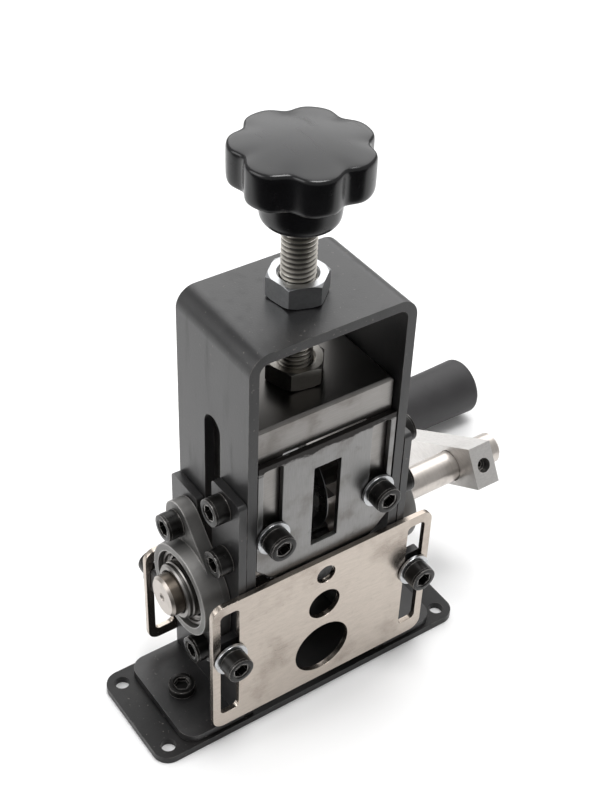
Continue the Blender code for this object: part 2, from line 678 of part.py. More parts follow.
def bearing_insert(name, side, materials):
    """The outer race with its seal, pressed into the ring."""
    front = BEARING_FACE - BEARING_INSERT_RECESS
    back = BEARING_SEAT + SEAT_GAP
    outer = BEARING_SEAT_RADIUS - SEAT_GAP
    race_inner = (outer + BEARING_LAND_RADIUS) / 2
    profile = [(back, BEARING_LAND_RADIUS), (back, outer), (front, outer), (front, race_inner),
               (front - BEARING_INSERT_DEPTH, race_inner),
               (front - BEARING_INSERT_DEPTH, BEARING_LAND_RADIUS)]
    bm = bmesh.new()
    add_turned(bm, profile, SHAFT_AXIS, (side, 0.0, 0.0), FINE_STEPS, bored=True)
    return finish(mesh_object(name, bm), materials["bearing_steel"])


def inner_ring(name, side, materials):
    """The race that turns with the shaft and stands proud of the housing."""
    bm = bmesh.new()
    add_turned(bm, ring_profile(BEARING_SEAT + SEAT_GAP, BEARING_FACE + INNER_RING_PROUD,
                                JOURNAL_RADIUS + SEAT_GAP, INNER_RING_RADIUS, RING_CHAMFER),
               SHAFT_AXIS, (side, 0.0, 0.0), FINE_STEPS, bored=True)
    return finish(mesh_object(name, bm), materials["bearing_steel"])


# Drive: shaft, roller and crank

def drive_shaft(materials):
    """A shaft with thick journals and a thinner end for the crank."""
    left_end = -(BEARING_FACE + SHAFT_STUB)
    shoulder = BEARING_FACE + INNER_RING_PROUD + SHOULDER_STANDOFF
    right_end = ARM_OUTER_FACE + SHAFT_END_REACH
    profile = [(left_end, JOURNAL_RADIUS - SHAFT_CHAMFER), (left_end + SHAFT_CHAMFER, JOURNAL_RADIUS),
               (shoulder, JOURNAL_RADIUS), (shoulder, CRANK_END_RADIUS),
               (right_end - SHAFT_CHAMFER, CRANK_END_RADIUS),
               (right_end, CRANK_END_RADIUS - SHAFT_CHAMFER)]
    bm = bmesh.new()
    add_turned(bm, profile, SHAFT_AXIS, (1.0, 0.0, 0.0), ROUND_STEPS)
    return finish(mesh_object("drive_shaft", bm), materials["bearing_steel"])


def feed_roller(materials):
    """A toothed sleeve with a groove under the blade."""
    half = ROLLER_LENGTH / 2
    groove = ROLLER_GROOVE_WIDTH / 2
    flank = ROLLER_GROOVE_DEPTH / 2
    stations = [(-half, 0.0), (BLADE_OFFSET - groove - flank, 0.0),
                (BLADE_OFFSET - groove, ROLLER_GROOVE_DEPTH), (BLADE_OFFSET + groove, ROLLER_GROOVE_DEPTH),
                (BLADE_OFFSET + groove + flank, 0.0), (half, 0.0)]
    steps = 2 * ROLLER_TEETH
    rings = []
    for x, sunk in stations:
        ring = []
        for step in range(steps):
            angle = 2 * pi * step / steps
            radius = ROLLER_RADIUS - sunk - (ROLLER_TOOTH_DEPTH if step % 2 else 0.0)
            ring.append((x, radius * cos(angle), SHAFT_HEIGHT + radius * sin(angle)))
        rings.append(ring)
    bore = JOURNAL_RADIUS + SEAT_GAP
    for x in (half, -half):
        rings.append([(x, bore * cos(2 * pi * step / steps),
                       SHAFT_HEIGHT + bore * sin(2 * pi * step / steps)) for step in range(steps)])
    bm = bmesh.new()
    add_loft(bm, rings, closed=True)
    return finish(mesh_object("feed_roller", bm), materials["tool_steel"], radians(20.0))


def arm_outline():
    """The arm seen along the shaft: distance from the shaft along the arm, and across it."""
    hub = ARM_HUB_HEIGHT / 2
    tip = ARM_TIP_HEIGHT / 2
    lean = math.asin((hub - tip) / ARM_LENGTH)
    outline = arc((ARM_LENGTH, 0.0), tip, lean - pi / 2, pi / 2 - lean, 12)
    outline += arc((ARM_CORNER - ARM_NOSE, hub - ARM_CORNER), ARM_CORNER, pi / 2, pi, 2)
    outline += arc((ARM_CORNER - ARM_NOSE, ARM_CORNER - hub), ARM_CORNER, pi, 3 * pi / 2, 2)
    return outline


def arm_point(along, across):
    """A point of the arm's own plane, as (y, z)."""
    upward = Vector((0.0, sin(ARM_DROOP), cos(ARM_DROOP)))
    point = SHAFT_AXIS + ARM_DIRECTION * along + upward * across
    return point.y, point.z


def crank_arm(materials):
    """The cast arm, bored for the shaft, the grip's pin and a set screw."""
    bm = bmesh.new()
    add_prism(bm, [arm_point(a, c) for a, c in arm_outline()], "YZ", ARM_INNER_FACE, ARM_OUTER_FACE)
    made = mesh_object("crank_arm", bm)
    holes = bmesh.new()
    reach = (ARM_INNER_FACE - CUT_OVERRUN, ARM_OUTER_FACE + CUT_OVERRUN)
    add_cross_holes(holes, [(0.0, SHAFT_HEIGHT)], CRANK_END_RADIUS + SEAT_GAP, *reach, steps=ROUND_STEPS)
    add_cross_holes(holes, [(GRIP_AXIS.y, GRIP_AXIS.z)], PIN_RADIUS + SEAT_GAP, *reach, steps=SMALL_STEPS)
    cut(made, holes)
    thread = bmesh.new()
    add_turned(thread, [(CRANK_END_RADIUS, SET_SCREW_RADIUS + SEAT_GAP),
                        (ARM_NOSE + CUT_OVERRUN, SET_SCREW_RADIUS + SEAT_GAP)],
               arm_middle(), -ARM_DIRECTION, SMALL_STEPS)
    cut(made, thread)
    return finish(made, materials["cast_aluminium"])


def arm_middle():
    """The point of the shaft's axis in the middle of the arm's thickness."""
    return SHAFT_AXIS + Vector(((ARM_INNER_FACE + ARM_OUTER_FACE) / 2, 0.0, 0.0))


def crank_set_screw(materials):
    """The headless screw in the nose of the arm, against the shaft."""
    start = CRANK_END_RADIUS + SEAT_GAP
    end = min(start + SET_SCREW_LENGTH, ARM_NOSE - SET_SCREW_SINK)
    bm = bmesh.new()
    add_turned(bm, [(start, SET_SCREW_RADIUS), (end, SET_SCREW_RADIUS)], arm_middle(),
               -ARM_DIRECTION, SMALL_STEPS)
    made = mesh_object("crank_set_screw", bm)
    socket = bmesh.new()
    add_turned(socket, [(end - SET_SCREW_LENGTH / 2, SET_SCREW_RADIUS / 2),
                        (end + CUT_OVERRUN, SET_SCREW_RADIUS / 2)], arm_middle(), -ARM_DIRECTION, 6)
    cut(made, socket)
    return finish(made, materials["black_oxide"])


def grip_pin(materials):
    """The pin through the tip of the arm that the grip turns on, with a collar at the arm."""
    collar = PIN_RADIUS + GRIP_STANDOFF
    nut_end = ARM_INNER_FACE - SEAT_GAP - PIN_NUT_HEIGHT
    collar_start = ARM_OUTER_FACE + SEAT_GAP
    collar_end = GRIP_START - SEAT_GAP
    tip = GRIP_START + PIN_REACH
    profile = [(nut_end - AXLE_CHAMFER, PIN_RADIUS - AXLE_CHAMFER), (nut_end, PIN_RADIUS),
               (collar_start, PIN_RADIUS), (collar_start, collar), (collar_end, collar),
               (collar_end, PIN_RADIUS), (tip - AXLE_CHAMFER, PIN_RADIUS),
               (tip, PIN_RADIUS - AXLE_CHAMFER)]
    bm = bmesh.new()
    add_turned(bm, profile, (0.0, GRIP_AXIS.y, GRIP_AXIS.z), (1.0, 0.0, 0.0), SMALL_STEPS)
    return finish(mesh_object("grip_pin", bm), materials["bearing_steel"])


def crank_grip(materials):
    """The turning grip: slightly waisted, its far end round, with a blind bore."""
    end = GRIP_START + GRIP_LENGTH
    rounding = [(end - GRIP_ROUNDING + GRIP_ROUNDING * sin(a * pi / 6),
                 GRIP_RADIUS - GRIP_ROUNDING + GRIP_ROUNDING * cos(a * pi / 6)) for a in range(4)]
    root = [(GRIP_START + GRIP_ROUNDING / 2 - GRIP_ROUNDING / 2 * cos(a * pi / 4),
             GRIP_RADIUS - GRIP_ROUNDING / 2 + GRIP_ROUNDING / 2 * sin(a * pi / 4)) for a in range(3)]
    middle = (GRIP_START + GRIP_LENGTH / 2, GRIP_RADIUS - GRIP_WAIST)
    bore_end = GRIP_START + PIN_REACH + SEAT_GAP
    bore = PIN_RADIUS + SEAT_GAP
    profile = [(bore_end, bore / 2), (bore_end, bore), (GRIP_START, bore)] + root + [middle] + rounding
    bm = bmesh.new()
    add_turned(bm, profile, (0.0, GRIP_AXIS.y, GRIP_AXIS.z), (1.0, 0.0, 0.0), ROUND_STEPS)
    return finish(mesh_object("crank_grip", bm), materials["grip_plastic"])


# Carriage, blade and guard

def carriage_block(materials):
    """An upside-down U: a thick top with a cheek down each side."""
    bottom = BLADE_HEIGHT - CHEEK_BELOW_AXLE
    bevel = CARRIAGE_TOP_BEVEL
    outline = [(CARRIAGE_HALF, bottom), (CARRIAGE_HALF, CARRIAGE_TOP - bevel),
               (CARRIAGE_HALF - bevel, CARRIAGE_TOP), (bevel - CARRIAGE_HALF, CARRIAGE_TOP),
               (-CARRIAGE_HALF, CARRIAGE_TOP - bevel), (-CARRIAGE_HALF, bottom),
               (-CHEEK_INNER, bottom), (-CHEEK_INNER, CARRIAGE_UNDERSIDE),
               (CHEEK_INNER, CARRIAGE_UNDERSIDE), (CHEEK_INNER, bottom)]
    bm = bmesh.new()
    add_prism(bm, outline, "XZ", CARRIAGE_FRONT, -CARRIAGE_FRONT)
    made = mesh_object("carriage_block", bm)
    holes = bmesh.new()
    add_prism(holes, circle((0.0, 0.0), SPINDLE_NECK_RADIUS + SEAT_GAP, ROUND_STEPS), "XY",
              CARRIAGE_UNDERSIDE - CUT_OVERRUN, CARRIAGE_TOP + CUT_OVERRUN)
    reach = CARRIAGE_HALF + CUT_OVERRUN
    add_cross_holes(holes, [(0.0, BLADE_HEIGHT)], AXLE_RADIUS + SEAT_GAP, -reach, reach, steps=SMALL_STEPS)
    cut(made, holes)
    threads = bmesh.new()
    for _, side in SIDES:
        add_prism(threads, circle((side * GUARD_SLOT_X, GUARD_SCREW_HEIGHT), M6_RADIUS + SEAT_GAP,
                                  TINY_STEPS), "XZ", CARRIAGE_FRONT - CUT_OVERRUN,
                  CARRIAGE_FRONT + guard_screw_grip() + SEAT_GAP)
    cut(made, threads)
    return finish(made, materials["bare_steel"])


def guard_screw_grip():
    """How far a guard screw goes into its cheek."""
    return 2 * M6_RADIUS


def blade_axle(materials):
    """The pin through both cheeks, whose ends run in the slots of the frame."""
    bm = bmesh.new()
    add_turned(bm, rod_profile(-WALL_OUTER, WALL_OUTER, AXLE_RADIUS, AXLE_CHAMFER), BLADE_AXIS,
               (1.0, 0.0, 0.0), SMALL_STEPS)
    return finish(mesh_object("blade_axle", bm), materials["bearing_steel"])


def blade_spacers(materials):
    """The two sleeves that hold the blade between the cheeks."""
    half = BLADE_THICKNESS / 2 + SEAT_GAP
    end = CHEEK_INNER - SEAT_GAP
    made = []
    for name, span in (("left", (-end, BLADE_OFFSET - half)), ("right", (BLADE_OFFSET + half, end))):
        bm = bmesh.new()
        add_turned(bm, ring_profile(*span, AXLE_RADIUS + SEAT_GAP, SPACER_RADIUS, RING_CHAMFER),
                   BLADE_AXIS, (1.0, 0.0, 0.0), SMALL_STEPS, bored=True)
        made.append(finish(mesh_object(name + "_blade_spacer", bm), materials["bearing_steel"]))
    return made


def round_blade(materials):
    """The cutting disc, ground to an edge from both faces."""
    half = BLADE_THICKNESS / 2
    edge = BLADE_EDGE_THICKNESS / 2
    bore = AXLE_RADIUS + SEAT_GAP
    profile = [(BLADE_OFFSET - half, bore), (BLADE_OFFSET - half, BLADE_RADIUS - BLADE_BEVEL_WIDTH),
               (BLADE_OFFSET - edge, BLADE_RADIUS), (BLADE_OFFSET + edge, BLADE_RADIUS),
               (BLADE_OFFSET + half, BLADE_RADIUS - BLADE_BEVEL_WIDTH), (BLADE_OFFSET + half, bore)]
    bm = bmesh.new()
    add_turned(bm, profile, BLADE_AXIS, (1.0, 0.0, 0.0), FINE_STEPS, bored=True)
    return finish(mesh_object("round_blade", bm), materials["tool_steel"])


def guard_plate(materials):
    """The plate over the blade, with a window and two slots to set its height."""
    bottom = GUARD_TOP - GUARD_HEIGHT
    corner = GUARD_CORNER
    upper = arc((GUARD_HALF - corner, GUARD_TOP - corner), corner, 0.0, pi / 2, 3)
    outline = [(GUARD_HALF - GUARD_CHAMFER, bottom), (GUARD_HALF, bottom + GUARD_CHAMFER)] + upper
    outline += [(-x, z) for x, z in reversed(upper)]
    outline += [(-GUARD_HALF, bottom + GUARD_CHAMFER), (GUARD_CHAMFER - GUARD_HALF, bottom)]
    bm = bmesh.new()
    add_prism(bm, outline, "XZ", GUARD_FRONT, GUARD_BACK)
    made = mesh_object("guard_plate", bm)
    holes = bmesh.new()
    window_top = GUARD_TOP - GUARD_WINDOW_TOP_INSET
    shapes = [rounded_rectangle((-GUARD_WINDOW_WIDTH / 2, window_top - GUARD_WINDOW_HEIGHT),
                                (GUARD_WINDOW_WIDTH / 2, window_top), corner / 2, 2)]
    for _, side in SIDES:
        middle = side * GUARD_SLOT_X
        shapes.append(rounded_rectangle((middle - GUARD_SLOT_WIDTH / 2, GUARD_SLOT_BOTTOM),
                                        (middle + GUARD_SLOT_WIDTH / 2, GUARD_SLOT_TOP), corner, 2))
    for shape in shapes:
        add_prism(holes, shape, "XZ", GUARD_FRONT - CUT_OVERRUN, GUARD_BACK + CUT_OVERRUN)
    cut(made, holes)
    return finish(made, materials["bare_steel"])


def guard_fasteners(materials):
    """The two screws and washers that clamp the guard to the cheeks."""
    forward = (0.0, -1.0, 0.0)
    washer_y = GUARD_FRONT - SEAT_GAP
    head_y = washer_y - WASHER_THICKNESS - SEAT_GAP
    length = CARRIAGE_FRONT - head_y + guard_screw_grip()
    made = []
    for name, side in SIDES:
        x = side * GUARD_SLOT_X
        made.append(flat_washer(name + "_guard_washer", (x, washer_y, GUARD_SCREW_HEIGHT), forward,
                                materials["bright_zinc"]))
        made.append(socket_screw(name + "_guard_screw", (x, head_y, GUARD_SCREW_HEIGHT), forward,
                                 length, materials["black_oxide"]))
    return made


# Guide plates

def guide_plate(name, end, bottom, height, slot_low, slot_high, cable_holes, materials):
    """A plate across both brackets, with an end slot at each side to set its height."""
    near = end * abs(GUIDE_BACK)
    far = end * abs(GUIDE_FRONT)
    bm = bmesh.new()
    add_prism(bm, rounded_rectangle((-GUIDE_WIDTH / 2, bottom), (GUIDE_WIDTH / 2, bottom + height),
                                    GUIDE_CORNER, 5), "XZ", near, far)
    made = mesh_object(name, bm)
    holes = bmesh.new()
    span = (near - end * CUT_OVERRUN, far + end * CUT_OVERRUN)
    for _, side in SIDES:
        middle = side * GUIDE_SLOT_X
        add_prism(holes, rounded_rectangle((middle - GUIDE_SLOT_WIDTH / 2, bottom + slot_low),
                                           (middle + GUIDE_SLOT_WIDTH / 2, bottom + height - slot_high),
                                           GUIDE_SLOT_WIDTH / 4, 4), "XZ", *span)
    for diameter, height_share in cable_holes:
        add_prism(holes, circle((0.0, bottom + height * height_share), diameter / 2, ROUND_STEPS),
                  "XZ", *span)
    cut(made, holes)
    return finish(made, materials["stainless"])


def guide_fasteners(materials):
    """The screws and washers that clamp both guide plates to the tabs."""
    washer_y = abs(GUIDE_FRONT) + SEAT_GAP
    head_y = washer_y + WASHER_THICKNESS + SEAT_GAP
    length = head_y - BRACKET_DEPTH / 2 + BRACKET_THICKNESS
    for place, end in (("front", -1), ("rear", 1)):
        for name, side in SIDES:
            x = side * GUIDE_SLOT_X
            outward = (0.0, end, 0.0)
            flat_washer(f"{place}_guide_washer_{name}", (x, end * washer_y, GUIDE_SCREW_HEIGHT),
                        outward, materials["bright_zinc"])
            socket_screw(f"{place}_guide_screw_{name}", (x, end * head_y, GUIDE_SCREW_HEIGHT),
                         outward, length, materials["black_oxide"])


# Spindle and knob

def threaded_spindle(materials):
    """The threaded rod, turned down to a neck where it passes through the carriage."""
    neck_end = RETAINING_NUT_TOP - RETAINING_NUT_HEIGHT - SPINDLE_NECK_TAIL
    top = KNOB_BOTTOM + KNOB_THREAD_DEPTH
    shoulder = CARRIAGE_TOP + SEAT_GAP
    profile = [(neck_end, SPINDLE_NECK_RADIUS - SHAFT_CHAMFER),
               (neck_end + SHAFT_CHAMFER, SPINDLE_NECK_RADIUS), (shoulder, SPINDLE_NECK_RADIUS),
               (shoulder, SPINDLE_RADIUS), (top - SHAFT_CHAMFER, SPINDLE_RADIUS),
               (top, SPINDLE_RADIUS - SHAFT_CHAMFER)]
    bm = bmesh.new()
    add_turned(bm, profile, (0.0, 0.0, 0.0), (0.0, 0.0, 1.0), ROUND_STEPS)
    return finish(mesh_object("threaded_spindle", bm), materials["bright_zinc"])


def knob_radius(angle):
    """The radius of the lobed rim: broad lobes, narrow valleys."""
    wave = (1 + cos(KNOB_LOBES * (angle - KNOB_LOBE_TURN))) / 2
    return KNOB_RADIUS - KNOB_LOBE_DEPTH * (1 - sin(wave * pi / 2))


def knob_rows():
    """The rings of the knob: height, how far inside the rim, and how far it follows the lobes."""
    hub = KNOB_RADIUS - KNOB_HUB_RADIUS
    rows = []
    for step in range(3):
        swing = step * pi / 4
        rows.append((KNOB_BOTTOM + KNOB_HUB_ROUNDING * (1 - cos(swing)),
                     hub + KNOB_HUB_ROUNDING * (1 - sin(swing)), 0.0))
    rows.append((KNOB_UNDERSIDE, hub, 0.0))
    rows.append((KNOB_UNDERSIDE, KNOB_ROUNDING / 2, 1.0))
    rows.append((KNOB_UNDERSIDE + KNOB_ROUNDING / 2, 0.0, 1.0))
    for step in range(3):
        swing = step * pi / 4
        rows.append((KNOB_RIM_TOP - KNOB_ROUNDING * (1 - sin(swing)),
                     KNOB_ROUNDING * (1 - cos(swing)), 1.0))
    for share in KNOB_DOME_SHARES:
        rows.append((KNOB_RIM_TOP + KNOB_DOME_HEIGHT * (1 - (1 - share) ** 2),
                     KNOB_ROUNDING + (KNOB_RADIUS - KNOB_ROUNDING) * share, 1.0 - share))
    return rows


def star_knob(materials):
    """The lobed knob with a low dome, a round hub and a blind hole for the spindle."""
    steps = KNOB_LOBES * KNOB_STEPS_PER_LOBE
    rings = []
    for height, inset, lobed in knob_rows():
        ring = []
        for step in range(steps):
            angle = 2 * pi * step / steps
            rim = KNOB_RADIUS + (knob_radius(angle) - KNOB_RADIUS) * lobed
            radius = rim - inset
            ring.append((radius * cos(angle), radius * sin(angle), height))
        rings.append(ring)
    bm = bmesh.new()
    add_loft(bm, rings)
    made = mesh_object("star_knob", bm)
    bore = bmesh.new()
    add_turned(bore, [(KNOB_BOTTOM - CUT_OVERRUN, SPINDLE_RADIUS + SEAT_GAP),
                      (KNOB_BOTTOM + KNOB_THREAD_DEPTH + SEAT_GAP, SPINDLE_RADIUS + SEAT_GAP)],
               (0.0, 0.0, 0.0), (0.0, 0.0, 1.0), ROUND_STEPS)
    cut(made, bore)
    return finish(made, materials["knob_plastic"])


# Assembly

def clear_scene():
    """Removes the objects that the scene starts with."""
    for left_over in list(bpy.data.objects):
        bpy.data.objects.remove(left_over, do_unlink=True)


def build_fixed(materials):
    """What stands still: base, frame, brackets, bearing housings and their screws."""
    base_plate(materials)
    main_frame(materials)
    for name, side in SIDES:
        bracket(name + "_bracket", side, materials)
        bearing_housing(name + "_bearing_housing", side, materials)
        bearing_insert(name + "_bearing_insert", side, materials)
    fixed_screws(materials)
    guide_fasteners(materials)
    hex_nut("top_nut", (0.0, 0.0, TOP_NUT_BOTTOM), (0.0, 0.0, 1.0), TOP_NUT_ACROSS_FLATS,
            TOP_NUT_HEIGHT, SPINDLE_RADIUS + THREAD_RUNNING_GAP, TOP_NUT_TURN,
            materials["bright_zinc"])


def build_guides(materials):
    """Both guide plates, each on its own slide."""
    front = guide_plate("front_guide_plate", -1, FRONT_GUIDE_BOTTOM, FRONT_GUIDE_HEIGHT,
                        FRONT_SLOT_BOTTOM_INSET, FRONT_SLOT_TOP_INSET,
                        zip(CABLE_HOLE_DIAMETERS, CABLE_HOLE_HEIGHT_SHARES), materials)
    rear = guide_plate("rear_guide_plate", 1, REAR_GUIDE_BOTTOM, REAR_GUIDE_HEIGHT,
                       REAR_SLOT_END_INSET, REAR_SLOT_END_INSET, (), materials)
    carry([front], axis_empty("front_guide_slide", (0.0, GUIDE_FRONT, FRONT_GUIDE_BOTTOM)))
    carry([rear], axis_empty("rear_guide_slide", (0.0, -GUIDE_FRONT, REAR_GUIDE_BOTTOM)))


def build_drive(materials):
    """What the crank turns, and the grip that turns on it."""
    turning = [drive_shaft(materials), feed_roller(materials), crank_arm(materials),
               crank_set_screw(materials), grip_pin(materials)]
    for name, side in SIDES:
        turning.append(inner_ring(name + "_inner_ring", side, materials))
    turning.append(hex_nut("grip_nut", (ARM_INNER_FACE - SEAT_GAP, GRIP_AXIS.y, GRIP_AXIS.z),
                           (-1.0, 0.0, 0.0), PIN_NUT_ACROSS_FLATS, PIN_NUT_HEIGHT,
                           PIN_RADIUS + SEAT_GAP, 0.0, materials["bright_zinc"]))
    drive = axis_empty("drive_axis", SHAFT_AXIS)
    carry(turning, drive)
    carry([crank_grip(materials)], axis_empty("grip_axis", GRIP_AXIS))


def build_carriage(materials):
    """What slides up and down in the frame, with the blade and the spindle."""
    sliding = [carriage_block(materials), blade_axle(materials)]
    sliding += blade_spacers(materials) + guard_fasteners(materials)
    carry(sliding, axis_empty("carriage_slide", (0.0, 0.0, CARRIAGE_TOP)))
    carry([guard_plate(materials)], axis_empty("guard_slide", (0.0, GUARD_FRONT, GUARD_TOP)))
    carry([round_blade(materials)], axis_empty("blade_axis", BLADE_AXIS))
    turning = [threaded_spindle(materials), star_knob(materials),
               hex_nut("collar_nut", (0.0, 0.0, COLLAR_NUT_BOTTOM), (0.0, 0.0, 1.0),
                       TOP_NUT_ACROSS_FLATS, COLLAR_NUT_HEIGHT, SPINDLE_RADIUS + SEAT_GAP,
                       COLLAR_NUT_TURN, materials["black_oxide"]),
               hex_nut("retaining_nut", (0.0, 0.0, RETAINING_NUT_TOP), (0.0, 0.0, -1.0),
                       RETAINING_NUT_ACROSS_FLATS, RETAINING_NUT_HEIGHT,
                       SPINDLE_NECK_RADIUS + SEAT_GAP, 0.0, materials["bright_zinc"])]
    carry(turning, axis_empty("spindle_axis", (0.0, 0.0, CARRIAGE_TOP)))


def main():
    """Builds the whole machine."""
    clear_scene()
    materials = make_materials()
    build_fixed(materials)
    build_guides(materials)
    build_drive(materials)
    build_carriage(materials)


main()
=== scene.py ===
"""The looks of the hand crank wire stripper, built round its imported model.

Metres, +Z up. +X runs along the drive shaft towards the crank, and the cable enters from -Y.
"""

import logging
import math
from dataclasses import dataclass
from enum import Enum
from math import cos, pi, radians, sin, sqrt
from typing import Callable, Iterable, Optional, Sequence, Union

import bmesh
import bpy
from mathutils import Matrix, Vector


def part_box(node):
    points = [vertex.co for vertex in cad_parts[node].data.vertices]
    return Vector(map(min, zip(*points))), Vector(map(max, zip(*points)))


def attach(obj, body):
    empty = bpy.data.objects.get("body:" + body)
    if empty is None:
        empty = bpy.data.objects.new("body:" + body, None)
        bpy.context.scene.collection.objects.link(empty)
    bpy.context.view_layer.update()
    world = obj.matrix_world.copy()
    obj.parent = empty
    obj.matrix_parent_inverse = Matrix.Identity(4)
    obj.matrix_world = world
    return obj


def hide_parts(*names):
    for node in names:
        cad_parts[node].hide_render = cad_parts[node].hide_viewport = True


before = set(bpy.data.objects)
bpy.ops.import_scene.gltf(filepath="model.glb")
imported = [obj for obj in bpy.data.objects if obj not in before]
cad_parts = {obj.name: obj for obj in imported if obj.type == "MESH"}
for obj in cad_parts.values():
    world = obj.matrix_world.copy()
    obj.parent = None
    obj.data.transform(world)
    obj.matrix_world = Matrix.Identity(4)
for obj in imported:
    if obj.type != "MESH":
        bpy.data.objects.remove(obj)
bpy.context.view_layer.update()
OVERRUN = 0.002
WELD = 0.000002

log = logging.getLogger("wire_stripper")

Point = Sequence[float]
Profile = Sequence[tuple[float, float]]


class Body(Enum):
    """The moving bodies that pieces ride on."""

    STAND = "stand"
    FRONT_GUIDE = "front_guide"
    REAR_GUIDE = "rear_guide"
    DRIVE = "drive"
    GRIP = "grip"
    CARRIAGE = "carriage"
    GUARD = "guard"
    BLADE = "blade"
    SPINDLE = "spindle"


class Axis(Enum):
    """Directions that pieces are turned or cut along."""

    X = (1.0, 0.0, 0.0)
    Y = (0.0, 1.0, 0.0)
    Z = (0.0, 0.0, 1.0)

    @property
    def vector(self) -> Vector:
        """The axis as a vector."""
        return Vector(self.value)

    @property
    def index(self) -> int:
        """The place of the axis among the coordinates."""
        return self.value.index(1.0)


# Shader graphs

class Sock:
    """An output of a shader node that takes part in arithmetic."""

    def __init__(self, graph: "Graph", socket: bpy.types.NodeSocket) -> None:
        """Keeps the socket and its graph.

        Args:
            graph: The graph that the socket belongs to.
            socket: The output socket.
        """
        self.graph = graph
        self.socket = socket

    def __add__(self, other: "Value") -> "Sock":
        """Adds a number or another socket."""
        return self.graph.maths("ADD", self, other)

    def __sub__(self, other: "Value") -> "Sock":
        """Takes away a number or another socket."""
        return self.graph.maths("SUBTRACT", self, other)

    def __rsub__(self, other: float) -> "Sock":
        """Is taken away from a number."""
        return self.graph.maths("SUBTRACT", other, self)

    def __mul__(self, other: "Value") -> "Sock":
        """Multiplies by a number or another socket."""
        return self.graph.maths("MULTIPLY", self, other)

    __radd__ = __add__
    __rmul__ = __mul__

    def between(self, low: float, high: float) -> "Sock":
        """Stretches a range to 0 to 1, with soft ends.

        Args:
            low: The value that becomes 0.
            high: The value that becomes 1.

        Returns:
            The stretched value.
        """
        made = self.graph.node("MapRange", {"interpolation_type": "SMOOTHSTEP"},
                               {"Value": self, "From Min": low, "From Max": high})
        return Sock(self.graph, made.outputs["Result"])


Value = Union[float, Sock]
Colour = Union[Sequence[float], Sock]


